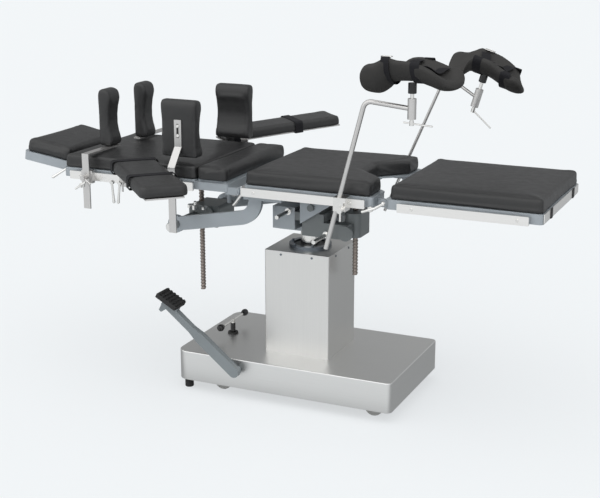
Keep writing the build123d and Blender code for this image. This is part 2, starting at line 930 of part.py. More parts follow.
# Side-tilt crank: worm, shaft and the hexagon for the crank handle
with BuildPart() as roll_crank:
    shaft_end_y = roll_case_near_y - roll_crank_reach
    rod(
        (worm_x, shaft_end_y + crank_hex_length, worm_z),
        (0, 1, 0),
        roll_case_far_y - shaft_end_y - crank_hex_length,
        crank_radius,
    )
    rod(
        (worm_x, -worm_wheel_width, worm_z),
        (0, 1, 0),
        worm_wheel_width * 2,
        worm_radius,
    )
    hex_end((worm_x, shaft_end_y, worm_z), (0, 1, 0), crank_hex_length, crank_hex_radius)
    rod(
        (worm_x, roll_case_near_y - crank_hex_length, worm_z),
        (0, 1, 0),
        crank_hex_length - soft_clearance,
        crank_hex_radius * 2 - side_play * 4,
    )
roll_crank.part.label = "roll_crank"
export_step(roll_crank.part, "parts/roll_crank.step")

# Tilt cradle: trunnion along the table, bridge, two cheeks and the hub of the tilt hinge
with BuildPart() as tilt_cradle:
    block(
        (cradle_head_x, cradle_foot_x),
        (-cradle_core_half, cradle_core_half),
        (cradle_core_z, cradle_bridge_z),
    )
    block(
        (cradle_head_x, cradle_foot_x),
        (-cradle_half_width, cradle_half_width),
        (cradle_bridge_z, cradle_bridge_top),
    )
    for side in (-1, 1):
        block(
            (cheek_head_x, cradle_foot_x),
            ordered(side * cheek_inner_y, side * cradle_half_width),
            (saddle_z, cradle_bridge_z),
        )
    block(
        (tilt_hinge_x - hub_radius, tilt_hinge_x + hub_radius),
        (-cradle_half_width, cradle_half_width),
        (cradle_bridge_top, tilt_hinge_z),
    )
    rod(
        (tilt_hinge_x, -cradle_half_width, tilt_hinge_z), (0, 1, 0), cradle_half_width * 2, hub_radius
    )
    pin_half = (rib_inner_y + rib_outer_y + hanger_thickness) / 2 + hub_pin_end
    rod((tilt_hinge_x, -pin_half, tilt_hinge_z), (0, 1, 0), pin_half * 2, hub_pin_radius)
    rod(
        (saddle_head_x - side_play, 0, roll_axis_z),
        (1, 0, 0),
        saddle_foot_x - saddle_head_x + side_play * 2,
        trunnion_radius,
    )
tilt_cradle.part.label = "tilt_cradle"
export_step(tilt_cradle.part, "parts/tilt_cradle.step")

# Worm sector keyed on the trunnion, inside the side-tilt gearbox: toothed above, a hub below
with BuildPart() as roll_worm_wheel:
    sector_start = (worm_x - worm_wheel_width / 2, 0, roll_axis_z)
    rod(sector_start, (1, 0, 0), worm_wheel_width, worm_wheel_radius)
    block(
        (worm_x - worm_wheel_width, worm_x + worm_wheel_width),
        (-worm_wheel_radius - overrun, worm_wheel_radius + overrun),
        (roll_axis_z - worm_wheel_radius - overrun, roll_axis_z + overrun),
        mode=Mode.SUBTRACT,
    )
    rod(sector_start, (1, 0, 0), worm_wheel_width, trunnion_radius + roll_case_wall)
    rod(
        (worm_x - worm_wheel_width, 0, roll_axis_z),
        (1, 0, 0),
        worm_wheel_width * 2,
        trunnion_radius,
        mode=Mode.SUBTRACT,
    )
roll_worm_wheel.part.label = "roll_worm_wheel"
export_step(roll_worm_wheel.part, "parts/roll_worm_wheel.step")

# Tilt gearbox: hung on the cradle, with the nut for the tilt screw and the crank's case
with BuildPart() as tilt_gearbox:
    with BuildSketch(Plane.XY.offset(tilt_case_bottom_z)):
        with Locations(((tilt_case_head_x + tilt_case_foot_x) / 2, 0)):
            RectangleRounded(
                tilt_case_foot_x - tilt_case_head_x, tilt_case_half_width * 2, tilt_case_round
            )
    extrude(amount=tilt_case_top_z - tilt_case_bottom_z)
    block(
        (cradle_foot_x, tilt_case_head_x),
        (-cradle_core_half, cradle_core_half),
        (tilt_arm_z, tilt_case_top_z),
    )
    block(
        (cradle_foot_x, tilt_case_head_x + tilt_case_corner),
        (-cradle_half_width, -cheek_inner_y),
        (saddle_z, cradle_bridge_z),
    )
    block(
        (tilt_case_head_x, tilt_case_head_x + tilt_case_corner * 3),
        (-cradle_half_width, tilt_case_corner - tilt_case_half_width),
        (saddle_z, cradle_bridge_z),
    )
    rod(
        (tilt_boss_x, -cradle_half_width - tilt_boss_height, tilt_boss_z),
        (0, 1, 0),
        tilt_boss_height,
        tilt_boss_radius,
    )
    rod(
        (tilt_screw_x, 0, tilt_case_bottom_z - overrun),
        (0, 0, 1),
        tilt_case_top_z - tilt_case_bottom_z + overrun * 2,
        screw_radius + running_fit,
        mode=Mode.SUBTRACT,
    )
    rod(
        (tilt_crank_x + crank_radius, -cradle_half_width - overrun, tilt_crank_z),
        (0, 1, 0),
        cradle_half_width - cheek_inner_y + overrun * 2,
        crank_radius + running_fit,
        mode=Mode.SUBTRACT,
    )
tilt_gearbox.part.label = "tilt_gearbox"
export_step(tilt_gearbox.part, "parts/tilt_gearbox.step")

# Tilt crank: shaft in the gearbox's side case, with its hexagon
with BuildPart() as tilt_crank:
    tilt_axis_x = tilt_crank_x + crank_radius
    crank_end_y = -cradle_half_width - tilt_crank_reach
    rod(
        (tilt_axis_x, crank_end_y + crank_hex_length, tilt_crank_z),
        (0, 1, 0),
        tilt_crank_reach - crank_hex_length + cradle_half_width - cheek_inner_y - side_play,
        crank_radius,
    )
    hex_end((tilt_axis_x, crank_end_y, tilt_crank_z), (0, 1, 0), crank_hex_length, crank_hex_radius)
    rod(
        (tilt_axis_x, -cradle_half_width - crank_hex_length, tilt_crank_z),
        (0, 1, 0),
        crank_hex_length - soft_clearance,
        crank_hex_radius * 2 - side_play * 4,
    )
tilt_crank.part.label = "tilt_crank"
export_step(tilt_crank.part, "parts/tilt_crank.step")


def screw_with_eye(x, bottom_z, top_z):
    """A round screw bar with a flat eye at its top."""
    rod((x, 0, bottom_z), (0, 0, 1), top_z - bottom_z, screw_radius)
    rod((x, -screw_eye_width / 2, top_z), (0, 1, 0), screw_eye_width, screw_eye_radius)


# Tilt screw: pushes the seat frame about the tilt hinge
with BuildPart() as tilt_screw:
    screw_with_eye(tilt_screw_x, tilt_screw_bottom_z, tilt_screw_top_z)
tilt_screw.part.label = "tilt_screw"
export_step(tilt_screw.part, "parts/tilt_screw.step")


def eye_ears(x, drop, width):
    """Two flat ears under a frame, with room between them for the eye of a screw."""
    for side in (-1, 1):
        inner_y = screw_eye_width / 2 + side_play * 2
        block(
            (x - width / 2, x + width / 2),
            ordered(side * inner_y, side * (inner_y + ear_plate_thickness)),
            (deck_z - drop, deck_z),
        )


def notch_profile(low_z, grow, corner):
    """The seat's notch at the foot end, as a flat face to cut with, grown by a margin."""
    inner_x = seat_foot_x - cushion_edge / 2 - notch_depth - grow
    with BuildSketch(Plane.XY.offset(low_z)) as notch:
        with BuildLine():
            Polyline(
                (inner_x, -notch_inner_half - grow),
                (inner_x, notch_inner_half + grow),
                (seat_foot_x + overrun, notch_outer_half + grow),
                (seat_foot_x + overrun, -notch_outer_half - grow),
                close=True,
            )
        make_face()
        fillet(notch.vertices().group_by(Axis.X)[0], radius=corner)
    return notch.sketch


# Seat frame: side bars, ribs, hanger plates, tray and the lugs of three hinges
with BuildPart() as seat_frame:
    frame_z = (deck_z, frame_top_z)
    perimeter_frame((seat_head_x, seat_foot_x), half_width, frame_z)
    block(
        (seat_foot_x - frame_bar - overrun, seat_foot_x + overrun),
        (-notch_outer_half, notch_outer_half),
        (deck_z - overrun, frame_top_z + overrun),
        mode=Mode.SUBTRACT,
    )
    block(
        (cross_member_x, cross_member_x + cross_member_width),
        (-half_width + frame_bar, half_width - frame_bar),
        frame_z,
    )
    for side in (-1, 1):
        block(
            (seat_head_x + frame_bar, cross_member_x),
            ordered(side * rib_inner_y, side * rib_outer_y),
            frame_z,
        )
        hanger_y = ordered(
            side * (rib_inner_y + rib_outer_y - hanger_thickness) / 2,
            side * (rib_inner_y + rib_outer_y + hanger_thickness) / 2,
        )
        with BuildSketch(front(hanger_y[1])) as hanger:
            with BuildLine():
                Polyline(
                    (hanger_head_x, deck_z),
                    (hanger_head_x, hanger_bottom_z),
                    (hanger_knee_x, hanger_knee_z),
                    (hanger_foot_x, deck_z),
                    close=True,
                )
            make_face()
            with Locations((tilt_hinge_x, tilt_hinge_z)):
                Circle(hub_pin_radius + running_fit, mode=Mode.SUBTRACT)
        extrude(hanger.sketch, amount=hanger_thickness)
        block(
            (seat_head_x, 0),
            ordered(side * arm_plate_inner_y, side * half_width),
            (deck_z - arm_plate_height, deck_z),
        )
        back_lug = ordered(side * back_lug_y, side * (back_lug_y + lug_thickness))
        lug(back_hinge_x, back_hinge_z, back_lug, seat_head_x)
        leg_lug = ordered(side * leg_lug_y, side * (leg_lug_y + lug_thickness))
        lug(leg_hinge_x, leg_hinge_z, leg_lug, seat_foot_x - frame_corner)
        for hinge_x, hinge_z, inner_y in (
            (back_hinge_x, back_hinge_z, back_lug_y),
            (leg_hinge_x, leg_hinge_z, leg_lug_y),
        ):
            rod(
                (hinge_x, side * inner_y, hinge_z),
                (0, side, 0),
                lug_thickness * 2 + side_play * 3,
                hinge_pin_radius,
            )
    with BuildSketch(Plane.XY.offset(frame_top_z)) as tray:
        with Locations(((seat_head_x + seat_foot_x) / 2, 0)):
            RectangleRounded(seat_foot_x - seat_head_x, table_width, frame_corner)
    extrude(tray.sketch, amount=tray_thickness)
    extrude(
        notch_profile(deck_z - overrun, -overrun, notch_corner),
        amount=frame_height + tray_thickness + overrun * 2,
        mode=Mode.SUBTRACT,
    )
    eye_ears(tilt_screw_x, screw_ear_drop, screw_ear_width)
seat_frame.part.label = "seat_frame"
export_step(seat_frame.part, "parts/seat_frame.step")

# Drive arms: two curved arms that reach under the back and carry its gearbox
with BuildPart() as drive_arms:
    for side in (-1, 1):
        arm_y = ordered(side * arm_inner_y, side * (arm_inner_y + arm_thickness))
        with BuildSketch(front(arm_y[1])) as arm_profile:
            with BuildLine():
                FilletPolyline(
                    (arm_drop_x, deck_z - arm_plate_height),
                    (arm_drop_x, arm_knee_z),
                    (gear_pivot_x, gear_pivot_z),
                    radius=arm_bend,
                )
            trace(line_width=arm_height)
            with Locations((gear_pivot_x, gear_pivot_z)):
                Circle(arm_boss_radius)
                Circle(gear_trunnion_radius + running_fit, mode=Mode.SUBTRACT)
        extrude(arm_profile.sketch, amount=arm_thickness)
drive_arms.part.label = "drive_arms"
export_step(drive_arms.part, "parts/drive_arms.step")

# Seat cushion, with the notch at its foot end
with BuildPart() as seat_cushion:
    seat_pad_head_x = seat_head_x + cushion_inset
    seat_pad_foot_x = seat_foot_x - cushion_end_inset
    cushion_body(
        Plane(origin=(seat_pad_head_x, 0, cushion_z), x_dir=(1, 0, 0), z_dir=(0, 0, 1)),
        seat_pad_foot_x - seat_pad_head_x,
        table_width,
        cushion_thickness,
    )
    extrude(
        notch_profile(cushion_z - overrun, 0, notch_corner),
        amount=cushion_thickness + overrun * 2,
        mode=Mode.SUBTRACT,
    )
seat_cushion.part.label = "seat_cushion"
export_step(seat_cushion.part, "parts/seat_cushion.step")


def side_rails(x_range):
    """Two flat accessory rails held off the frame's sides by round spacers."""
    for side in (-1, 1):
        rail_y = ordered(side * rail_inner_y, side * rail_outer_y)
        with BuildSketch(front(rail_y[1])) as rail:
            with Locations((sum(x_range) / 2, (rail_low_z + rail_high_z) / 2)):
                RectangleRounded(x_range[1] - x_range[0], rail_height, rail_corner)
        extrude(rail.sketch, amount=rail_thickness)
        for share in rail_spacer_shares:
            spacer_x = x_range[0] + rail_inset + (x_range[1] - x_range[0] - rail_inset * 2) * share
            rod(
                (spacer_x, side * half_width, (rail_low_z + rail_high_z) / 2),
                (0, side, 0),
                rail_gap,
                rail_spacer_radius,
            )


for rail_name, rail_x in (
    ("seat_rails", (seat_head_x, seat_foot_x - rail_inset)),
    ("back_rails", (back_head_x + frame_bar, kidney_seam_x)),
    ("leg_rails", (leg_head_x + frame_bar + leg_rail_setback, leg_foot_x - frame_bar)),
):
    with BuildPart() as rails:
        side_rails(rail_x)
    rails.part.label = rail_name
    export_step(rails.part, "parts/" + rail_name + ".step")


def rail_clamp(x, side, width, outer_y):
    """A clamp that hooks over a side rail, as one block in the piece being made."""
    x_range = (x - width / 2, x + width / 2)
    lip_y = rail_inner_y - clamp_lip
    block(x_range, ordered(side * rail_outer_y, side * outer_y), (rail_low_z - clamp_jaw, rail_high_z + clamp_jaw))
    block(x_range, ordered(side * lip_y, side * rail_outer_y), (rail_high_z, rail_high_z + clamp_jaw))
    block(x_range, ordered(side * lip_y, side * rail_inner_y), (rail_high_z - clamp_jaw, rail_high_z))
    block(x_range, ordered(side * rail_inner_y, side * rail_outer_y), (rail_low_z - clamp_jaw, rail_low_z))


def clamp_screw(x, side, outer_y, z, lever_direction):
    """The clamping screw on the outside of a clamp, with its loose lever bar."""
    rod((x, side * outer_y, z), (0, side, 0), clamp_knob_length, clamp_knob_radius)
    lever_y = outer_y + clamp_knob_length - clamp_knob_radius
    start = Vector(x, side * lever_y, z) - Vector(*lever_direction) * clamp_lever_length / 3
    rod(start, lever_direction, clamp_lever_length, clamp_lever_radius)


# Slices of a trough from its head end to its foot end: the reach that they follow, then
# shares of that reach, of the drop, of the half width, of the depth and of the wall
trough_shares = (
    (trough_head_reach, -1, 1, 0.72, 0.25, 0.6),
    (trough_head_reach, -0.85, 0.65, 0.92, 0.5, 1),
    (trough_head_reach, -0.45, 0.12, 1, 0.9, 1),
    (trough_head_reach, -0.12, 0, 1, 1, 1),
    (trough_foot_reach, 0.12, 0, 1, 1, 1),
    (trough_foot_reach, 0.5, 0.15, 1, 0.85, 1),
    (trough_foot_reach, 0.88, 0.5, 0.92, 0.5, 0.9),
    (trough_foot_reach, 1, 0.7, 0.7, 0.25, 0.6),
)

pole_axes = {
    "near": (near_pole_x, -1, near_pole_lean, near_elbow_z, near_knuckle_x, near_knuckle_z, near_pole_radius),
    "far": (far_pole_x, 1, far_pole_lean, far_elbow_z, far_knuckle_x, far_knuckle_z, far_pole_radius),
}


def pole_place(pole_x, lean, z):
    """The x of a leaning pole's axis at a height; the pole crosses the rail at its middle."""
    rail_middle_z = (rail_low_z + rail_high_z) / 2
    return pole_x + (z - rail_middle_z) * math.tan(math.radians(lean))


# Leg-holder clamps on the seat rails, bored along the leaning poles
with BuildPart() as leg_holder_clamps:
    for pole_x, side, lean, elbow_z, knuckle_x, knuckle_z, pole_radius in pole_axes.values():
        rail_clamp(pole_x + holder_clamp_width / 4, side, holder_clamp_width, holder_clamp_outer_y)
        clamp_screw(
            pole_x + holder_clamp_width / 2,
            side,
            holder_clamp_outer_y,
            rail_low_z,
            (0, 0, -1),
        )
        low_z = rail_low_z - rail_height
        rod(
            (pole_place(pole_x, lean, low_z), side * pole_y, low_z),
            (math.sin(math.radians(lean)), 0, math.cos(math.radians(lean))),
            rail_height * 4,
            pole_radius + running_fit,
            mode=Mode.SUBTRACT,
        )
leg_holder_clamps.part.label = "leg_holder_clamps"
export_step(leg_holder_clamps.part, "parts/leg_holder_clamps.step")

# Back frame: open frame with a broad bar under the kidney section, tray and hinge lugs
with BuildPart() as back_frame:
    frame_z = (deck_z, frame_top_z)
    perimeter_frame((back_head_x, back_foot_x), half_width, frame_z)
    block(
        (kidney_bar_head_x - frame_corner, back_foot_x - frame_corner),
        (-half_width + frame_bar, half_width - frame_bar),
        frame_z,
    )
    block(
        (gear_pivot_x - back_ear_width / 2, gear_pivot_x + back_ear_width / 2),
        (-half_width + frame_bar, half_width - frame_bar),
        frame_z,
    )
    with BuildSketch(Plane.XY.offset(frame_top_z)) as tray:
        with Locations(((back_head_x + kidney_bar_head_x) / 2, 0)):
            RectangleRounded(kidney_bar_head_x - back_head_x, table_width, frame_corner)
    extrude(tray.sketch, amount=tray_thickness)
    for side in (-1, 1):
        inner_y = back_lug_y + lug_thickness + side_play
        lug(
            back_hinge_x,
            back_hinge_z,
            ordered(side * inner_y, side * (inner_y + lug_thickness)),
            back_foot_x - frame_corner,
        )
        rod(
            (back_hinge_x, side * (inner_y - overrun), back_hinge_z),
            (0, side, 0),
            lug_thickness + overrun * 2,
            hinge_pin_radius + running_fit,
            mode=Mode.SUBTRACT,
        )
        rod(
            ((kidney_seam_x + kidney_foot_x) / 2, side * kidney_post_y, deck_z - overrun),
            (0, 0, 1),
            frame_height + overrun * 2,
            kidney_post_radius + running_fit,
            mode=Mode.SUBTRACT,
        )
        head_lug = ordered(side * head_lug_y, side * (head_lug_y + lug_thickness))
        lug(head_hinge_x, head_hinge_z, head_lug, back_head_x + frame_bar / 2)
        rod(
            (head_hinge_x, side * (head_lug_y + lug_thickness), head_hinge_z),
            (0, side, 0),
            lug_thickness + side_play * 2,
            lug_radius + head_relief,
            mode=Mode.SUBTRACT,
        )
        rod(
            (head_hinge_x, side * head_lug_y, head_hinge_z),
            (0, side, 0),
            lug_thickness * 2 + side_play * 3,
            hinge_pin_radius,
        )
    eye_ears(gear_pivot_x, back_ear_drop, back_ear_width)
back_frame.part.label = "back_frame"
export_step(back_frame.part, "parts/back_frame.step")

# Main back cushion
with BuildPart() as back_cushion:
    cushion_body(
        Plane(origin=(back_head_x, 0, cushion_z), x_dir=(1, 0, 0), z_dir=(0, 0, 1)),
        kidney_seam_x - cushion_seam / 2 - back_head_x,
        table_width,
        cushion_thickness,
    )
back_cushion.part.label = "back_cushion"
export_step(back_cushion.part, "parts/back_cushion.step")

# Kidney section: a plate on two guide posts, with its own cushion
with BuildPart() as kidney_plate:
    block(
        (kidney_seam_x + cushion_seam, back_foot_x - frame_corner),
        (cushion_edge - half_width, half_width - cushion_edge),
        (frame_top_z, frame_top_z + tray_thickness),
    )
    for side in (-1, 1):
        rod(
            ((kidney_seam_x + kidney_foot_x) / 2, side * kidney_post_y, frame_top_z),
            (0, 0, -1),
            kidney_post_length,
            kidney_post_radius,
        )
kidney_plate.part.label = "kidney_plate"
export_step(kidney_plate.part, "parts/kidney_plate.step")

with BuildPart() as kidney_cushion:
    cushion_body(
        Plane(origin=(kidney_seam_x + cushion_seam / 2, 0, cushion_z), x_dir=(1, 0, 0), z_dir=(0, 0, 1)),
        kidney_foot_x - kidney_seam_x - cushion_seam / 2,
        table_width,
        cushion_thickness,
    )
kidney_cushion.part.label = "kidney_cushion"
export_step(kidney_cushion.part, "parts/kidney_cushion.step")

# Back gearbox: swings between the drive arms and holds the nut of the back screw
with BuildPart() as back_gearbox:
    block(
        (gear_case_head_x, gear_case_foot_x),
        (-gear_case_half_width, gear_case_half_width),
        (gear_case_bottom_z, gear_case_top_z),
    )
    fillet(back_gearbox.edges().filter_by(Axis.Y), radius=tilt_case_corner)
    rod(
        (gear_boss_x, -gear_case_half_width - gear_boss_height, gear_boss_z),
        (0, 1, 0),
        gear_boss_height,
        gear_boss_radius,
    )
    for side in (-1, 1):
        rod(
            (gear_pivot_x, side * gear_case_half_width, gear_pivot_z),
            (0, side, 0),
            gear_trunnion_end - gear_case_half_width,
            gear_trunnion_radius,
        )
    rod(
        (gear_pivot_x, -gear_trunnion_end - overrun, gear_pivot_z),
        (0, 1, 0),
        gear_trunnion_end - gear_case_half_width + overrun,
        back_crank_radius + running_fit,
        mode=Mode.SUBTRACT,
    )
    rod(
        (gear_pivot_x, 0, gear_case_bottom_z - overrun),
        (0, 0, 1),
        gear_case_top_z - gear_case_bottom_z + overrun * 2,
        screw_radius + running_fit,
        mode=Mode.SUBTRACT,
    )
back_gearbox.part.label = "back_gearbox"
export_step(back_gearbox.part, "parts/back_gearbox.step")

# Back crank: runs in the hollow near trunnion, with its hexagon outside
with BuildPart() as back_crank:
    crank_end_y = -gear_trunnion_end - back_crank_reach
    rod(
        (gear_pivot_x, crank_end_y + crank_hex_length, gear_pivot_z),
        (0, 1, 0),
        back_crank_reach - crank_hex_length + gear_trunnion_end - gear_case_half_width - side_play,
        back_crank_radius,
    )
    hex_end((gear_pivot_x, crank_end_y, gear_pivot_z), (0, 1, 0), crank_hex_length, crank_hex_radius)
back_crank.part.label = "back_crank"
export_step(back_crank.part, "parts/back_crank.step")

# Back screw: lifts the back section
with BuildPart() as back_screw:
    screw_with_eye(gear_pivot_x, back_screw_bottom_z, back_screw_top_z)
back_screw.part.label = "back_screw"
export_step(back_screw.part, "parts/back_screw.step")

# Head section, drawn flat in a plane tilted with it: x runs to the head, z up
head_cosine = math.cos(math.radians(head_tilt))
head_sine = math.sin(math.radians(head_tilt))
head_plane = Plane(
    origin=(head_hinge_x, 0, head_hinge_z),
    x_dir=(-head_cosine, 0, head_sine),
    z_dir=(head_sine, 0, head_cosine),
)
head_gap = lug_radius + head_frame_setback
with BuildPart() as head_frame:
    head_z = (deck_z - head_hinge_z, frame_top_z - head_hinge_z)
    perimeter_frame((head_gap, head_length), head_width / 2, head_z, head_plane)
    with BuildSketch(head_plane.offset(head_z[1])) as tray:
        with Locations(((head_gap + head_length) / 2, 0)):
            RectangleRounded(head_length - head_gap, head_width, frame_corner)
    extrude(tray.sketch, amount=tray_thickness)
    for side in (-1, 1):
        inner_y = head_lug_y + lug_thickness + side_play
        lug_y = ordered(side * inner_y, side * (inner_y + lug_thickness))
        head_side = Plane(
            origin=head_plane.origin + Vector(0, lug_y[0], 0), x_dir=head_plane.x_dir, z_dir=(0, 1, 0)
        )
        with BuildSketch(head_side) as head_lug_outline:
            Circle(lug_radius)
            with Locations(((head_gap + frame_corner) / 2, 0)):
                Rectangle(head_gap + frame_corner, lug_radius * 2)
            Circle(hinge_pin_radius + running_fit, mode=Mode.SUBTRACT)
        extrude(head_lug_outline.sketch, amount=lug_thickness)
head_frame.part.label = "head_frame"
export_step(head_frame.part, "parts/head_frame.step")

with BuildPart() as head_cushion:
    cushion_foot_gap = head_gap + head_cushion_setback
    head_pad_origin = head_plane.from_local_coords(
        (cushion_foot_gap, 0, frame_top_z - head_hinge_z + tray_thickness + soft_clearance)
    )
    cushion_body(
        Plane(origin=head_pad_origin, x_dir=head_plane.x_dir, z_dir=head_plane.z_dir),
        head_length - cushion_foot_gap - head_cushion_inset,
        head_width,
        cushion_thickness,
    )
head_cushion.part.label = "head_cushion"
export_step(head_cushion.part, "parts/head_cushion.step")

# Leg section: frame, tray, hinge lugs and cushion
with BuildPart() as leg_frame:
    perimeter_frame((leg_head_x, leg_foot_x), half_width, (deck_z, frame_top_z))
    with BuildSketch(Plane.XY.offset(frame_top_z)) as tray:
        with Locations(((leg_head_x + leg_foot_x) / 2, 0)):
            RectangleRounded(leg_foot_x - leg_head_x, table_width, frame_corner)
    extrude(tray.sketch, amount=tray_thickness)
    for side in (-1, 1):
        inner_y = leg_lug_y + lug_thickness + side_play
        leg_lug = ordered(side * inner_y, side * (inner_y + lug_thickness))
        lug(leg_hinge_x, leg_hinge_z, leg_lug, leg_head_x + frame_corner)
        rod(
            (leg_hinge_x, side * (inner_y - overrun), leg_hinge_z),
            (0, side, 0),
            lug_thickness + overrun * 2,
            hinge_pin_radius + running_fit,
            mode=Mode.SUBTRACT,
        )
leg_frame.part.label = "leg_frame"
export_step(leg_frame.part, "parts/leg_frame.step")

with BuildPart() as leg_cushion:
    leg_pad_head_x = leg_head_x + cushion_end_inset
    cushion_body(
        Plane(origin=(leg_pad_head_x, 0, cushion_z), x_dir=(1, 0, 0), z_dir=(0, 0, 1)),
        leg_foot_x - leg_pad_head_x,
        table_width,
        cushion_thickness,
    )
leg_cushion.part.label = "leg_cushion"
export_step(leg_cushion.part, "parts/leg_cushion.step")

# Support clamps: shoulder and body support bars with their clamps, and the armrest brackets
with BuildPart() as support_clamps:
    bar_outer_y = bar_inner_y + bar_thickness
    for side in (-1, 1):
        for bar_x, bottom_z, top_z in (
            (shoulder_bar_x, shoulder_bar_bottom_z, shoulder_bar_top_z),
            (body_bar_x, body_bar_bottom_z, body_bar_bend_z),
        ):
            rail_clamp(bar_x, side, clamp_width, bar_inner_y)
            block(
                (bar_x - bar_width / 2, bar_x + bar_width / 2),
                ordered(side * bar_inner_y, side * bar_outer_y),
                (bottom_z, top_z),
            )
            clamp_screw(bar_x, side, bar_outer_y, (rail_low_z + rail_high_z) / 2, (0.8, 0, -0.6))
        block(
            (shoulder_bar_x - bar_width / 2, shoulder_bar_x + bar_width / 2),
            ordered(side * shoulder_bar_end_y, side * bar_inner_y),
            (shoulder_bar_top_z - bar_thickness, shoulder_bar_top_z),
        )
        bracket_y = body_pad_outer_y + soft_clearance
        with BuildSketch(Plane.YZ.offset(body_bar_x - bar_width / 2)) as slope:
            with BuildLine():
                Polyline(
                    (side * bar_outer_y, body_bar_bend_z),
                    (side * bar_inner_y, body_bar_bend_z),
                    (side * bracket_y, body_bracket_z),
                    (side * bracket_y, body_bar_top_z),
                    (side * (bracket_y + bar_thickness), body_bar_top_z),
                    (side * (bracket_y + bar_thickness), body_bracket_z),
                    close=True,
                )
            make_face()
        extrude(slope.sketch, amount=bar_width)
        arm_shift = armrest_far_shift if side > 0 else 0
        arm_clamp_x = armrest_clamp_x + arm_shift
        arm_pivot_x = armrest_pivot_x + arm_shift
        rail_clamp(arm_clamp_x, side, clamp_width, bar_inner_y)
        arm_start = Vector(arm_clamp_x, side * (rail_outer_y + bar_inner_y) / 2)
        arm_end = Vector(arm_pivot_x, side * armrest_pivot_y)
        with BuildSketch(Plane.XY.offset(armrest_bracket_z)) as bracket:
            with BuildLine():
                Line(arm_start, arm_end)
            trace(line_width=bar_width)
            with Locations((arm_pivot_x, side * armrest_pivot_y)):
                Circle(armrest_post_radius + bar_thickness)
        extrude(bracket.sketch, amount=armrest_bracket_height)
        block(
            (arm_clamp_x - clamp_width / 2, arm_clamp_x + clamp_width / 2),
            ordered(side * rail_outer_y, side * bar_inner_y),
            (rail_high_z, armrest_bracket_z),
        )
        rod(
            (arm_pivot_x, side * armrest_pivot_y, armrest_bracket_z - overrun),
            (0, 0, 1),
            armrest_bracket_height + overrun * 2,
            armrest_post_radius + running_fit,
            mode=Mode.SUBTRACT,
        )
        clamp_screw(arm_clamp_x, side, bar_inner_y, (rail_low_z + rail_high_z) / 2, (0, 0, -1))
support_clamps.part.label = "support_clamps"
export_step(support_clamps.part, "parts/support_clamps.step")


def waisted_pad(view, width, height):
    """An upright pad: a flat back, a contact face that draws in at its waist, soft edges."""
    round_share = 0.3
    shoulder_share = 0.2
    with BuildSketch(view) as side_view:
        with BuildLine():
            Line((0, pad_edge), (0, height - pad_edge * 2))
            ThreePointArc(
                (0, height - pad_edge * 2),
                (pad_edge * 2 * round_share, height - pad_edge * 2 * round_share),
                (pad_edge * 2, height),
            )
            Line((pad_edge * 2, height), (pad_thickness - pad_edge * 3, height))
            ThreePointArc(
                (pad_thickness - pad_edge * 3, height),
                (pad_thickness - pad_edge * 3 * round_share, height - pad_edge * 3 * round_share),
                (pad_thickness, height - pad_edge * 3),
            )
            Line((pad_thickness, height - pad_edge * 3), (pad_thickness, height * (1 - shoulder_share)))
            ThreePointArc(
                (pad_thickness, height * (1 - shoulder_share)),
                (pad_thickness - pad_waist, height / 2),
                (pad_thickness, height * shoulder_share),
            )
            Line((pad_thickness, height * shoulder_share), (pad_thickness, pad_edge * 2))
            Line((pad_thickness, pad_edge * 2), (pad_thickness - pad_edge * 2, 0))
            Line((pad_thickness - pad_edge * 2, 0), (pad_edge, 0))
            Line((pad_edge, 0), (0, pad_edge))
        make_face()
    extrude(side_view.sketch, amount=width)


# Shoulder pads stand on the shoulder bars and face the foot end
for side_name, side in sides:
    with BuildPart() as shoulder_pad:
        pad_x = shoulder_bar_x + side * shoulder_pad_shift - pad_thickness / 2
        waisted_pad(
            Plane(
                origin=(
                    pad_x,
                    side * shoulder_pad_y + shoulder_pad_width / 2,
                    shoulder_bar_top_z + soft_clearance,
                ),
                x_dir=(1, 0, 0),
                z_dir=(0, -1, 0),
            ),
            shoulder_pad_width,
            shoulder_pad_height,
        )
        long_faces = shoulder_pad.faces().filter_by(Axis.Y)
        fillet(long_faces.edges(), radius=pad_edge / 2)
    shoulder_pad.part.label = "shoulder_pad_" + side_name
    export_step(shoulder_pad.part, "parts/shoulder_pad_" + side_name + ".step")

# Body pads hang on the brackets of the body bars and face each other
for side_name, side in sides:
    with BuildPart() as body_pad:
        waisted_pad(
            Plane(
                origin=(
                    body_pad_x + side * body_pad_width / 2,
                    side * body_pad_outer_y,
                    body_pad_bottom_z,
                ),
                x_dir=(0, -side, 0),
                z_dir=(-side, 0, 0),
            ),
            body_pad_width,
            body_pad_height,
        )
        fillet(body_pad.faces().filter_by(Axis.X).edges(), radius=pad_edge / 2)
    body_pad.part.label = "body_pad_" + side_name
    export_step(body_pad.part, "parts/body_pad_" + side_name + ".step")

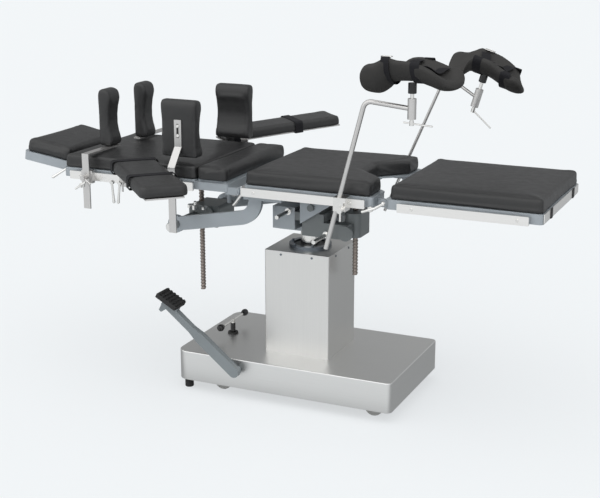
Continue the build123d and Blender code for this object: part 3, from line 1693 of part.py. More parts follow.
# Armrests: a steel board on a pivot post and a pad on top
for side_name, side, rise, shift in (
    ("near", -1, 0, 0),
    ("far", 1, armrest_far_pitch, armrest_far_shift),
):
    direction = Vector(
        math.cos(math.radians(armrest_yaw)) * math.cos(math.radians(rise)),
        side * math.sin(math.radians(armrest_yaw)) * math.cos(math.radians(rise)),
        math.sin(math.radians(rise)),
    )
    across = Vector(-direction.Y, direction.X, 0).normalized()
    board_plane = Plane(
        origin=(armrest_pivot_x + shift, side * armrest_pivot_y, armrest_board_z),
        x_dir=direction,
        z_dir=direction.cross(across),
    )
    with BuildPart() as armrest_board:
        block(
            (-armrest_overhang, armrest_length - armrest_overhang),
            (cushion_edge - armrest_width / 2, armrest_width / 2 - cushion_edge),
            (0, armrest_board_thickness),
            board_plane,
        )
        post_top_z = armrest_board_z + armrest_board_thickness / 2
        rod(
            (armrest_pivot_x + shift, side * armrest_pivot_y, armrest_bracket_z),
            (0, 0, 1),
            post_top_z - armrest_bracket_z,
            armrest_post_radius,
        )
    armrest_board.part.label = "armrest_board_" + side_name
    export_step(armrest_board.part, "parts/armrest_board_" + side_name + ".step")
    with BuildPart() as armrest_pad:
        pad_origin = board_plane.from_local_coords((-armrest_overhang, 0, armrest_board_thickness))
        cushion_body(
            Plane(origin=pad_origin, x_dir=board_plane.x_dir, z_dir=board_plane.z_dir),
            armrest_length,
            armrest_width,
            armrest_pad_thickness,
        )
    armrest_pad.part.label = "armrest_pad_" + side_name
    export_step(armrest_pad.part, "parts/armrest_pad_" + side_name + ".step")


def trough_section(base, along, lift, half, depth, wall):
    """One slice of a leg trough: a thick crescent between two arcs and two round rims."""
    origin = base.from_local_coords((along, 0, lift))
    rim_share = 0.45
    with BuildSketch(Plane(origin=origin, x_dir=base.y_dir, z_dir=base.x_dir)) as section:
        with BuildLine():
            ThreePointArc((-half, depth), (0, 0), (half, depth))
            ThreePointArc(
                (half, depth),
                (half + wall * rim_share, depth + wall * rim_share / 2),
                (half + wall * rim_share * 2, depth - wall * rim_share / 2),
            )
            ThreePointArc(
                (half + wall * rim_share * 2, depth - wall * rim_share / 2),
                (0, -wall),
                (-half - wall * rim_share * 2, depth - wall * rim_share / 2),
            )
            ThreePointArc(
                (-half - wall * rim_share * 2, depth - wall * rim_share / 2),
                (-half - wall * rim_share, depth + wall * rim_share / 2),
                (-half, depth),
            )
        make_face()
    return section.sketch


# Leg poles: a leaning pole, an elbow and an arm that ends in the knuckle's barrel
for side_name, (pole_x, side, lean, elbow_z, knuckle_x, knuckle_z, pole_radius) in pole_axes.items():
    low_z = rail_low_z - pole_below_rail
    elbow_x = pole_place(pole_x, lean, elbow_z)
    stem_tilt = 0 if side < 0 else far_stem_tilt
    trough_pitch = 0 if side < 0 else far_stem_tilt + far_trough_pitch
    stem_axis = Vector(math.sin(math.radians(stem_tilt)), 0, math.cos(math.radians(stem_tilt)))
    knuckle = Vector(knuckle_x, side * pole_y, knuckle_z)
    with BuildPart() as leg_pole:
        with BuildLine() as pole_path:
            FilletPolyline(
                (pole_place(pole_x, lean, low_z), side * pole_y, low_z),
                (elbow_x, side * pole_y, elbow_z),
                (knuckle_x, side * pole_y, knuckle_z),
                radius=pole_bend,
            )
        with BuildSketch(Plane(origin=pole_path.line @ 0, z_dir=pole_path.line % 0)):
            Circle(pole_radius)
        sweep()
        rod(knuckle - stem_axis * barrel_height / 2, stem_axis, barrel_height, barrel_radius)
        rod(
            knuckle - stem_axis * barrel_height,
            stem_axis,
            barrel_height * 2,
            stem_radius + running_fit,
            mode=Mode.SUBTRACT,
        )
    leg_pole.part.label = "leg_pole_" + side_name
    export_step(leg_pole.part, "parts/leg_pole_" + side_name + ".step")
    with BuildPart() as leg_stem:
        foot = knuckle - stem_axis * (barrel_height / 2 + stem_tail)
        barrel_top = knuckle + stem_axis * (barrel_height / 2)
        rod(foot, stem_axis, barrel_height + stem_tail + stem_length, stem_radius)
        rod(
            barrel_top + stem_axis * (stem_length - stem_sleeve_radius),
            stem_axis,
            stem_sleeve_length,
            stem_sleeve_radius,
        )
        rod(foot - stem_axis * stem_knob_radius, stem_axis, stem_knob_radius * 2, stem_knob_radius)
        droop = math.radians(near_lever_droop if side < 0 else far_lever_droop)
        lever_direction = Vector(math.cos(droop), 0, -math.sin(droop))
        lever_start = foot - lever_direction * (near_lever_back if side < 0 else far_lever_back)
        rod(lever_start, lever_direction, stem_lever_length, stem_lever_radius)
    leg_stem.part.label = "leg_stem_" + side_name
    export_step(leg_stem.part, "parts/leg_stem_" + side_name + ".step")
    with BuildPart() as leg_trough:
        pitch_gap = stem_sleeve_radius * math.tan(math.radians(trough_pitch - stem_tilt))
        seat_reach = stem_length - stem_sleeve_radius + stem_sleeve_length + soft_clearance + pitch_gap
        pitch = math.radians(trough_pitch)
        trough_up = Vector(math.sin(pitch), 0, math.cos(pitch))
        trough_plane = Plane(
            origin=barrel_top + stem_axis * seat_reach + trough_up * trough_wall,
            x_dir=(math.cos(pitch), 0, -math.sin(pitch)),
            z_dir=trough_up,
        )
        slices = []
        for reach, along_share, drop_share, width_share, depth_share, wall_share in trough_shares:
            slices.append(
                trough_section(
                    trough_plane,
                    reach * along_share,
                    -trough_drop * drop_share,
                    trough_half_width * width_share,
                    trough_depth * depth_share,
                    trough_wall * wall_share,
                )
            )
        loft(slices, ruled=True)
    leg_trough.part.label = "leg_trough_" + side_name
    export_step(leg_trough.part, "parts/leg_trough_" + side_name + ".step")
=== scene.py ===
# %% [markdown]
# # An operating table for the studio
# The engineering model gives every rigid part of this table its true size and place. This
# lesson dresses it: a camera and soft light, finishes for steel, paint and upholstery, and
# new surfaces for whatever is sewn, stuffed, strapped or threaded. Each shape is a formula
# of two parameters that numpy works out as whole arrays.

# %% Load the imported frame
import math

import bpy
import numpy as np
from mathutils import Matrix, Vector


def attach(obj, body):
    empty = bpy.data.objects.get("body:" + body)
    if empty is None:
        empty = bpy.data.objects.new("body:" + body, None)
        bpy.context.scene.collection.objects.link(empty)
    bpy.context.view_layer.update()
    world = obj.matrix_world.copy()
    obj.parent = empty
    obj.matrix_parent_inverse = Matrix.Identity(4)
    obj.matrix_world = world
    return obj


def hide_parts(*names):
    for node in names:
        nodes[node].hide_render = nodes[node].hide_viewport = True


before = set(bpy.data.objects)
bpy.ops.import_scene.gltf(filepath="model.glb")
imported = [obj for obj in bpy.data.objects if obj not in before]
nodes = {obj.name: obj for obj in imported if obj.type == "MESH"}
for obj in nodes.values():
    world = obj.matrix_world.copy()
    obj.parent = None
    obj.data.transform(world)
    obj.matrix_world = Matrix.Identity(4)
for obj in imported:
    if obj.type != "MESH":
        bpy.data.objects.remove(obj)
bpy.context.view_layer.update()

# %% [markdown]
# The picture was taken with a long lens from the near side, a little above the table top.
# A camera is easiest to place by where it stands and what it looks at; the lens follows from
# how large the table appears. A long lens keeps the two ends of the table nearly parallel.

# %% Camera
camera_stand = Vector((1.7944, -4.0722, 1.7635))
camera_target = Vector((-0.0417, 0.0, 0.5138))
camera_data = bpy.data.cameras.new("studio_camera")
camera_data.sensor_width = 36
camera_data.lens = 76.34
camera = bpy.data.objects.new("studio_camera", camera_data)
camera.location = camera_stand
camera.rotation_euler = (camera_target - camera_stand).to_track_quat("-Z", "Y").to_euler()
bpy.context.scene.collection.objects.link(camera)
bpy.context.scene.camera = camera
bpy.context.scene.view_settings.view_transform = "Standard"
print("camera", round((camera_target - camera_stand).length, 2), "m from the column")


# %% [markdown]
# Node trees are written here as short recipes. One helper adds a node, fills its sockets with
# numbers or with the outputs of other nodes, and hands it back, so a finish reads from top
# to bottom as coordinates, pattern, colour, roughness and relief.

# %% A helper for node recipes
def wire(tree, kind, sockets=None, **settings):
    """Adds a node; a socket, by name or number, takes a value or another node's output."""
    step = tree.nodes.new(kind)
    for name, value in settings.items():
        setattr(step, name, value)
    for name, value in (sockets or {}).items():
        if isinstance(value, bpy.types.NodeSocket):
            tree.links.new(value, step.inputs[name])
        else:
            step.inputs[name].default_value = value
    return step


def blank_finish(name):
    """A new material, its tree, its surface shader and its Object coordinates."""
    material = bpy.data.materials.new(name)
    material.use_nodes = True
    tree = material.node_tree
    place = wire(tree, "ShaderNodeTexCoord").outputs["Object"]
    return material, tree, tree.nodes["Principled BSDF"], place


def fade(tree, value, start, stop, low, high):
    """Runs from low to high while the value runs from start to stop, and is flat outside."""
    sockets = {"Value": value, "From Min": start, "From Max": stop, "To Min": low, "To Max": high}
    return wire(tree, "ShaderNodeMapRange", sockets).outputs["Result"]


def spread(tree, value, low, high):
    """Maps a pattern that lies between 0 and 1 to the range from low to high."""
    return fade(tree, value, 0.0, 1.0, low, high)


def tint(tree, value, dark, light):
    """Mixes two colours by a pattern between 0 and 1."""
    sockets = {0: value, 6: (*dark, 1), 7: (*light, 1)}
    return wire(tree, "ShaderNodeMix", sockets, data_type="RGBA").outputs[2]


def blend(tree, share, first, second):
    """The first shader where share is 0, the second where it is 1."""
    sockets = {"Fac": share, 1: first.outputs[0], 2: second.outputs[0]}
    return wire(tree, "ShaderNodeMixShader", sockets)


# %% [markdown]
# The studio is a pale sheet that runs from under the castors to behind the picture, so no
# horizon shows. Steel needs something to reflect: the walls are bright behind the camera and
# dimmer behind the table. The sheet adds painted light: to glossy rays it glows, fully in
# front of the table and dimly under it, a painted reflection that gives each face of the
# base its own grey; to diffuse rays it is dark grey, a painted shade under the table.

# %% Studio floor and walls
backdrop_colour = (0.887, 0.913, 0.930)


def studio_floor():
    """A large flat sheet, four corners about the table."""
    reach = 40.0
    mesh = bpy.data.meshes.new("studio_floor")
    mesh.from_pydata(
        [(-reach, -reach, 0), (reach, -reach, 0), (reach, reach, 0), (-reach, reach, 0)],
        [],
        [(0, 1, 2, 3)],
    )
    sheet = bpy.data.objects.new("studio_floor", mesh)
    bpy.context.scene.collection.objects.link(sheet)
    material, tree, shader, place = blank_finish("studio_sheet")
    tree.nodes.remove(shader)
    rays = wire(tree, "ShaderNodeLightPath")
    parts = wire(tree, "ShaderNodeSeparateXYZ", {"Vector": place})
    # Painted shade: to diffuse rays the sheet is dark grey, so the undersides of the table get
    # little bounced light.
    painted_shade_sheet = wire(tree, "ShaderNodeBsdfDiffuse", {"Color": (0.34, 0.35, 0.355, 1)})
    pale_sheet = wire(tree, "ShaderNodeBsdfDiffuse", {"Color": (0.86, 0.885, 0.90, 1)})
    glow = wire(tree, "ShaderNodeEmission", {"Color": (*backdrop_colour, 1), "Strength": 1.0})
    seen = blend(tree, 0.34, glow, pale_sheet)
    # Painted reflection: to glossy rays the sheet glows, fully in front of the table, dimly under
    # it and a little more towards the foot end.
    painted_reflection_near = fade(tree, parts.outputs["Y"], -0.44, -0.28, 1.0, 0.42)
    painted_reflection_foot = fade(tree, parts.outputs["X"], 0.8, 1.6, 0.40, 0.60)
    painted_reflection_strength = wire(tree, "ShaderNodeMath", {0: painted_reflection_near, 1: painted_reflection_foot}, operation="MAXIMUM")
    mirrored = wire(
        tree,
        "ShaderNodeEmission",
        {"Color": (*backdrop_colour, 1), "Strength": painted_reflection_strength.outputs[0]},
    )
    bounced = blend(tree, rays.outputs["Is Glossy Ray"], painted_shade_sheet, mirrored)
    chosen = blend(tree, rays.outputs["Is Camera Ray"], bounced, seen)
    tree.links.new(chosen.outputs[0], tree.nodes["Material Output"].inputs["Surface"])
    mesh.materials.append(material)


def studio_walls():
    """Camera rays see the plain backdrop; all other rays see bright and dim walls."""
    world = bpy.data.worlds.new("studio_walls")
    bpy.context.scene.world = world
    world.use_nodes = True
    tree = world.node_tree
    rays = wire(tree, "ShaderNodeLightPath")
    heading = wire(tree, "ShaderNodeTexCoord").outputs["Generated"]
    parts = wire(tree, "ShaderNodeSeparateXYZ", {"Vector": heading})
    wall_behind_camera = 1.12
    towards_back = fade(tree, parts.outputs["Y"], -0.4, 0.5, 0.0, 1.0)
    far_wall = fade(tree, parts.outputs["X"], -0.8, 0.8, 0.30, 0.66)
    sockets = {0: towards_back, 2: wall_behind_camera, 3: far_wall}
    strength = wire(tree, "ShaderNodeMix", sockets, data_type="FLOAT")
    walls = wire(
        tree,
        "ShaderNodeBackground",
        {"Color": (0.975, 0.99, 1.0, 1), "Strength": strength.outputs[0]},
    )
    backdrop = wire(tree, "ShaderNodeBackground", {"Color": (*backdrop_colour, 1), "Strength": 1})
    chosen = blend(tree, rays.outputs["Is Camera Ray"], walls, backdrop)
    tree.links.new(chosen.outputs[0], tree.nodes["World Output"].inputs["Surface"])


def studio_lamp(name, strength, heading, spread_deg, colour):
    """A far, wide lamp: only its direction and the softness of its shadow matter."""
    data = bpy.data.lights.new(name, "SUN")
    data.energy = strength
    data.angle = math.radians(spread_deg)
    data.color = colour
    lamp = bpy.data.objects.new(name, data)
    lamp.rotation_euler = Vector(heading).to_track_quat("-Z", "Y").to_euler()
    bpy.context.scene.collection.objects.link(lamp)


studio_floor()
studio_walls()
studio_lamp("key_lamp", 0.9, (0.35, 0.55, -1.0), 110, (1.0, 0.985, 0.96))
studio_lamp("front_lamp", 0.15, (-0.5, 1.0, -0.35), 100, (0.93, 0.96, 1.0))
print("studio lit by", len(bpy.data.lights), "lamps and the walls")


# %% [markdown]
# Brushed stainless steel is bright metal with thousands of fine parallel scratches. Noise
# that is stretched along the brushing direction gives streaks of colour, of roughness and a
# very small relief; a second, broad noise stands for finger marks and cleaning smears.

# %% Steel finishes
def steel_finish(name, bright, rough, streaks, smear=0.08):
    """Streaks: how many pattern cells per metre along X, Y and Z. Small along the brushing."""
    material, tree, shader, place = blank_finish(name)
    stretched = wire(tree, "ShaderNodeMapping", {"Vector": place, "Scale": streaks})
    scratch = wire(
        tree,
        "ShaderNodeTexNoise",
        {"Vector": stretched.outputs[0], "Scale": 1.0, "Detail": 3.0, "Roughness": 0.7},
    ).outputs["Fac"]
    mark = wire(
        tree, "ShaderNodeTexNoise", {"Vector": place, "Scale": 7.0, "Detail": 2.0}
    ).outputs["Fac"]
    dark = tuple(channel * 0.90 for channel in bright)
    tree.links.new(tint(tree, scratch, dark, bright), shader.inputs["Base Color"])
    base = spread(tree, scratch, rough - smear / 2, rough + smear / 2)
    extra = spread(tree, mark, -smear, smear)
    total = wire(tree, "ShaderNodeMath", {0: base, 1: extra}, operation="ADD")
    tree.links.new(total.outputs[0], shader.inputs["Roughness"])
    relief = wire(
        tree, "ShaderNodeBump", {"Strength": 0.12, "Distance": 0.0004, "Height": scratch}
    )
    tree.links.new(relief.outputs[0], shader.inputs["Normal"])
    shader.inputs["Metallic"].default_value = 1.0
    return material


base_steel = steel_finish("base_steel", (0.74, 0.74, 0.73), 0.38, (6, 420, 420))
column_steel = steel_finish("column_steel", (0.72, 0.715, 0.70), 0.36, (420, 420, 5))
rail_steel = steel_finish("rail_steel", (0.86, 0.845, 0.825), 0.30, (8, 500, 500), 0.10)
bar_steel = steel_finish("bar_steel", (0.62, 0.61, 0.60), 0.38, (300, 300, 20), 0.10)
bright_steel = steel_finish("bright_steel", (0.80, 0.79, 0.77), 0.16, (90, 90, 90), 0.06)
screw_steel = steel_finish("screw_steel", (0.30, 0.26, 0.235), 0.42, (160, 160, 160), 0.12)
flange_steel = steel_finish("flange_steel", (0.16, 0.18, 0.205), 0.30, (60, 60, 60), 0.12)
print("steel finishes", sum("steel" in material.name for material in bpy.data.materials))


# %% [markdown]
# The frame is painted in a light blue-grey with a fine hammered skin. Hammer paint shrinks
# into small rounded cells as it dries, so its relief is a smooth cell pattern; its gloss
# is nearly even. A little colour drift keeps large castings from looking like plastic.

# %% Paint finishes
def paint_finish(name, colour, rough, cells, relief_depth, gloss=0.0):
    """Colour with a slow drift, and the smooth cells of hammer paint as relief."""
    material, tree, shader, place = blank_finish(name)
    cell = wire(
        tree, "ShaderNodeTexVoronoi", {"Vector": place, "Scale": cells}, feature="F1"
    ).outputs["Distance"]
    drift = wire(
        tree, "ShaderNodeTexNoise", {"Vector": place, "Scale": 11.0, "Detail": 2.0}
    ).outputs["Fac"]
    dark = tuple(channel * 0.84 for channel in colour)
    light = tuple(min(channel * 1.12, 1.0) for channel in colour)
    tree.links.new(tint(tree, drift, dark, light), shader.inputs["Base Color"])
    tree.links.new(spread(tree, drift, rough - 0.07, rough + 0.07), shader.inputs["Roughness"])
    relief = wire(
        tree, "ShaderNodeBump", {"Strength": 0.35, "Distance": relief_depth, "Height": cell}
    )
    tree.links.new(relief.outputs[0], shader.inputs["Normal"])
    shader.inputs["Metallic"].default_value = 0.25
    shader.inputs["Coat Weight"].default_value = gloss
    return material


frame_paint = paint_finish("frame_paint", (0.37, 0.405, 0.435), 0.38, 420, 0.0005, 0.15)
casting_paint = paint_finish("casting_paint", (0.165, 0.18, 0.183), 0.40, 380, 0.0006, 0.1)
pedal_paint = paint_finish("pedal_paint", (0.235, 0.262, 0.275), 0.36, 300, 0.0007, 0.2)
chassis_paint = paint_finish("chassis_paint", (0.06, 0.063, 0.066), 0.5, 300, 0.0004)
print("paint finishes ready")


# %% [markdown]
# The cushions are covered with black coated cloth. Its skin has pebbles of about a
# millimetre, pressed in by the maker's roller, and long soft ripples where it is pulled over
# the foam. Rubber and moulded knobs use the same recipe with other scales and gloss.

# %% Upholstery, rubber and plastic finishes
def skin_finish(name, dark, light, rough, pebbles, pebble_depth, ripple_depth, shine=0.5):
    """Pebbled skin: cells for the grain, broad noise for ripples, drift and rub marks."""
    material, tree, shader, place = blank_finish(name)
    grain = wire(
        tree, "ShaderNodeTexVoronoi", {"Vector": place, "Scale": pebbles}, feature="F1"
    ).outputs["Distance"]
    ripple = wire(
        tree,
        "ShaderNodeTexNoise",
        {"Vector": place, "Scale": 13.0, "Detail": 2.0, "Distortion": 0.6},
    ).outputs["Fac"]
    rub = wire(
        tree, "ShaderNodeTexNoise", {"Vector": place, "Scale": 38.0, "Detail": 2.0}
    ).outputs["Fac"]
    tree.links.new(tint(tree, rub, dark, light), shader.inputs["Base Color"])
    tree.links.new(spread(tree, rub, rough - 0.08, rough + 0.10), shader.inputs["Roughness"])
    fold = wire(
        tree, "ShaderNodeBump", {"Strength": 0.30, "Distance": ripple_depth, "Height": ripple}
    )
    relief = wire(
        tree,
        "ShaderNodeBump",
        {"Strength": 0.40, "Distance": pebble_depth, "Height": grain, "Normal": fold.outputs[0]},
    )
    tree.links.new(relief.outputs[0], shader.inputs["Normal"])
    shader.inputs["Specular IOR Level"].default_value = shine
    return material


cushion_skin = skin_finish(
    "cushion_skin", (0.0150, 0.0152, 0.0160), (0.0265, 0.0265, 0.0270), 0.42, 850, 0.0003, 0.003
)
trough_skin = skin_finish(
    "trough_skin", (0.021, 0.0205, 0.020), (0.040, 0.038, 0.036), 0.66, 700, 0.0004, 0.006, 0.4
)
strap_web = skin_finish(
    "strap_web", (0.006, 0.006, 0.008), (0.011, 0.011, 0.014), 0.72, 1400, 0.0003, 0.001, 0.3
)
black_rubber = skin_finish(
    "black_rubber", (0.014, 0.014, 0.014), (0.030, 0.030, 0.030), 0.62, 500, 0.0002, 0.001, 0.4
)
black_knob = skin_finish(
    "black_knob", (0.008, 0.008, 0.009), (0.013, 0.013, 0.014), 0.22, 120, 0.0001, 0.0004
)
pale_tread = skin_finish(
    "pale_tread", (0.42, 0.42, 0.41), (0.56, 0.56, 0.54), 0.5, 300, 0.0002, 0.0005
)
print("soft finishes ready")

# %% [markdown]
# Every rigid node of the engineering model keeps its shape and takes one of these
# finishes. A table of node names is clearer than a line for each node, and it shows at a
# glance which parts of the real table are made of the same stuff.

# %% Finishes of the rigid nodes
node_finishes = {
    "base_cover": base_steel,
    "column_cover": column_steel,
    "column_flange": flange_steel,
    "chassis": chassis_paint,
    "lift_cylinder": chassis_paint,
    "pump_unit": chassis_paint,
    "brake_frame": chassis_paint,
    "brake_feet": black_rubber,
    "brake_handle": bright_steel,
    "brake_knobs": black_knob,
    "swivel_fork_near": bright_steel,
    "swivel_fork_far": bright_steel,
    "castor_wheel_head_near": pale_tread,
    "castor_wheel_head_far": pale_tread,
    "castor_wheel_foot_near": pale_tread,
    "castor_wheel_foot_far": pale_tread,
    "pedal_arm": pedal_paint,
    "pedal_pad": black_rubber,
    "lift_ram": bright_steel,
    "saddle": frame_paint,
    "roll_gearbox": frame_paint,
    "roll_crank": bright_steel,
    "tilt_cradle": casting_paint,
    "roll_worm_wheel": screw_steel,
    "tilt_gearbox": casting_paint,
    "tilt_crank": bright_steel,
    "tilt_screw": screw_steel,
    "seat_frame": frame_paint,
    "drive_arms": frame_paint,
    "seat_rails": rail_steel,
    "leg_holder_clamps": bright_steel,
    "back_frame": frame_paint,
    "back_rails": rail_steel,
    "support_clamps": bar_steel,
    "kidney_plate": frame_paint,
    "back_gearbox": casting_paint,
    "back_crank": bright_steel,
    "back_screw": screw_steel,
    "head_frame": frame_paint,
    "leg_frame": frame_paint,
    "leg_rails": rail_steel,
    "armrest_board_near": bar_steel,
    "armrest_board_far": bar_steel,
    "leg_pole_near": bar_steel,
    "leg_pole_far": bar_steel,
    "leg_stem_near": bright_steel,
    "leg_stem_far": bright_steel,
}
for node_name, finish in node_finishes.items():
    nodes[node_name].data.materials.clear()
    nodes[node_name].data.materials.append(finish)
print(len(node_finishes), "rigid nodes finished")


# %% [markdown]
# All new surfaces are grids of points: rows of rings, each ring closed. One helper carries a
# section along a path, one turns a radius about an axis, and a third stitches any number of
# such grids into one closed mesh with outward faces. Small screws, levers and slabs follow.

# %% Grids of points and the meshes made from them
def unit(vectors):
    """Each vector divided by its own length."""
    vectors = np.asarray(vectors, float)
    return vectors / np.linalg.norm(vectors, axis=-1, keepdims=True)


def carried(path, section, width_axis, loop=False):
    """point(i, j) = path(i) + section_x(j) * width axis + section_y(j) * (tangent x width axis)."""
    path = np.asarray(path, float)
    if loop:
        tangent = unit(np.roll(path, -1, axis=0) - np.roll(path, 1, axis=0))
    else:
        tangent = unit(np.gradient(path, axis=0))
    across = unit(np.asarray(width_axis, float) - tangent * (tangent @ width_axis)[:, None])
    over = np.cross(tangent, across)
    x, y = np.asarray(section, float).T[:, None, :, None]
    return path[:, None] + x * across[:, None] + y * over[:, None]


def corners_of(low, high):
    """The four corners of a rectangle, in order, from its low corner."""
    return [(low[0], low[1]), (high[0], low[1]), (high[0], high[1]), (low[0], high[1])]


def flat_section(width, thickness):
    """The section of a webbing strap."""
    return corners_of((-width / 2, -thickness / 2), (width / 2, thickness / 2))


def round_section(radius, sides):
    """A circle: x = r cos a, y = r sin a."""
    angle = np.linspace(0, 2 * np.pi, sides, endpoint=False)
    return radius * np.stack([np.cos(angle), np.sin(angle)], axis=-1)


def turned(start, direction, profile, sides=28, corners=0):
    """A profile of (distance, radius) pairs turned about a direction; corners makes it a nut."""
    profile = np.asarray(profile, float)
    direction = unit(direction)
    side = unit(np.cross(direction, (0.31, 0.87, 0.39)))
    angle = np.linspace(0, 2 * np.pi, sides, endpoint=False)
    swell = np.ones(sides)
    if corners:
        wedge = 2 * np.pi / corners
        swell = np.cos(wedge / 2) / np.cos(np.mod(angle, wedge) - wedge / 2)
    over = np.cross(direction, side)
    circle = (np.cos(angle) * swell)[:, None] * side + (np.sin(angle) * swell)[:, None] * over
    return (
        np.asarray(start, float)
        + profile[:, 0, None, None] * direction
        + profile[:, 1, None, None] * circle
    )


def stitched(grid, loop):
    """Faces of one grid of rings, with a fan of triangles at each open end."""
    rows, columns = grid.shape[:2]
    here = np.arange(columns)
    onward = np.roll(here, -1)
    row = np.arange(rows if loop else rows - 1)[:, None]
    low, high = row * columns, ((row + 1) % rows) * columns
    quads = np.stack([low + here, low + onward, high + onward, high + here], axis=-1)
    if loop:
        return quads.reshape(-1, 4), np.empty((0, 3), int)
    foot, head = rows * columns, rows * columns + 1
    last = (rows - 1) * columns
    fans = np.concatenate(
        [
            np.stack([np.full(columns, foot), onward, here], axis=-1),
            np.stack([np.full(columns, head), last + here, last + onward], axis=-1),
        ]
    )
    return quads.reshape(-1, 4), fans


def signed_volume(points, quads, fans):
    """Six times the volume under the faces: positive when they point outwards."""
    triangles = np.concatenate([quads[:, :3], quads[:, [0, 2, 3]], fans])
    first, second, third = (points[triangles[:, k]] for k in range(3))
    return float(np.sum(first * np.cross(second, third)))


def new_piece(name, grids, finish, body, loops=False, crease=32):
    """One object from any number of grids, smooth but for edges sharper than crease degrees."""
    points, faces, first = [], [], 0
    for grid in grids:
        grid = np.asarray(grid, float)
        own = grid.reshape(-1, 3)
        if not loops:
            own = np.concatenate([own, grid[0].mean(axis=0)[None], grid[-1].mean(axis=0)[None]])
        quads, fans = stitched(grid, loops)
        if signed_volume(own - own.mean(axis=0), quads, fans) < 0:
            quads, fans = quads[:, ::-1], fans[:, ::-1]
        faces += (quads + first).tolist() + (fans + first).tolist()
        points.append(own)
        first += len(own)
    mesh = bpy.data.meshes.new(name)
    mesh.from_pydata(np.concatenate(points).tolist(), [], faces)
    mesh.polygons.foreach_set("use_smooth", np.ones(len(mesh.polygons), bool))
    mesh.set_sharp_from_angle(angle=math.radians(crease))
    mesh.materials.append(finish)
    piece = bpy.data.objects.new(name, mesh)
    bpy.context.scene.collection.objects.link(piece)
    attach(piece, body)
    return piece


def catmull_rom(a, b, c, d, t):
    """The smooth curve from b to c at the share t of the way, with neighbours a and d."""
    return 0.5 * (
        2 * b + (c - a) * t + (2 * a - 5 * b + 4 * c - d) * t**2 + (3 * b - a - 3 * c + d) * t**3
    )


def along(points, count):
    """Points on a smooth line through a few given points, about as many in each stretch."""
    knots = np.asarray(points, float)
    knots = np.concatenate([2 * knots[:1] - knots[1:2], knots, 2 * knots[-1:] - knots[-2:-1]])
    place = np.linspace(0, len(knots) - 3 - 1e-9, count)
    index = place.astype(int)
    t = (place - index)[:, None]
    return catmull_rom(*(knots[index + k] for k in range(4)), t)


def headed(start, direction, radius, height, corners=0):
    """A screw head with a shallow socket: the profile turns back in at its top."""
    profile = [
        (0, radius),
        (height * 0.6, radius),
        (height, radius * 0.82),
        (height, radius * 0.5),
        (height * 0.45, radius * 0.42),
    ]
    return turned(start, direction, profile, 24, corners)


def lever(start, end, radius, knob=1.0):
    """A round rod from start to end whose radius grows by the factor knob, with a domed end."""
    length = float(np.linalg.norm(np.subtract(end, start)))
    tip = radius * knob
    profile = [
        (0, radius * 0.8),
        (radius * 0.3, radius),
        (length * 0.55, radius),
        (length * 0.8, (radius + tip) / 2),
        (length - tip * 0.9, tip),
        (length - tip * 0.35, tip * 0.85),
        (length, tip * 0.35),
    ]
    return turned(start, np.subtract(end, start), profile, 20)


def nut(start, direction, radius, height, bevel, tip, sides=24, corners=6):
    """A nut, or with no corners a stud: straight up to its height, then a bevel to the tip."""
    profile = [(0, radius), (height, radius), (height + bevel, tip)]
    return turned(start, direction, profile, sides, corners)


def slab(low, high, soft):
    """A block between two corners: four rings of a rounded rectangle, with softened edges."""
    low, high = np.asarray(low, float), np.asarray(high, float)
    size = high - low
    ring = rounded_outline(corners_of((0, 0), size), [min(size[0], size[1]) * 0.2] * 4, 5, 0.004)
    middle = size[:2] / 2
    shrink = 1 - 2 * soft / size[:2]
    rings = [
        np.column_stack([middle + (ring - middle) * share, np.full(len(ring), tall)])
        for share, tall in ((shrink, 0), (1, soft), (1, size[2] - soft), (shrink, size[2]))
    ]
    return low + np.stack(rings)


print("helpers ready")


# %% [markdown]
# A table cushion is a foam slab in a tight cover: flat below, a narrow rounded edge, sides
# that draw in between the corners, and a slightly crowned top. The formula runs rings of
# the outline from the middle of the base, round the edge, to the middle of the top.

# %% The cushion formula
def rounded_outline(corners, radii, per_corner=10, spacing=0.006):
    """A polygon with arcs at its corners, then points spaced evenly along it."""
    corners = np.asarray(corners, float)
    before, after = np.roll(corners, 1, axis=0), np.roll(corners, -1, axis=0)
    back, ahead = unit(before - corners), unit(after - corners)
    half_turn = np.arccos(np.clip(np.sum(back * ahead, axis=1), -1, 1)) / 2
    radii = np.asarray(radii, float)
    reach = radii / np.tan(half_turn)
    t = np.linspace(0, 1, per_corner)[None, :, None]
    start = corners[:, None] + back[:, None] * reach[:, None, None]
    stop = corners[:, None] + ahead[:, None] * reach[:, None, None]
    middle = corners[:, None]
    pull = np.sin(half_turn)[:, None, None]
    bezier = (1 - t) ** 2 * start + 2 * t * (1 - t) * pull * middle + t**2 * stop
    bezier = bezier / ((1 - t) ** 2 + 2 * t * (1 - t) * pull + t**2)
    line = bezier.reshape(-1, 2)
    closed = np.concatenate([line, line[:1]])
    run = np.concatenate([[0], np.cumsum(np.linalg.norm(np.diff(closed, axis=0), axis=1))])
    count = int(run[-1] / spacing)
    place = np.linspace(0, run[-1], count, endpoint=False)
    return np.stack([np.interp(place, run, closed[:, k]) for k in (0, 1)], axis=-1)


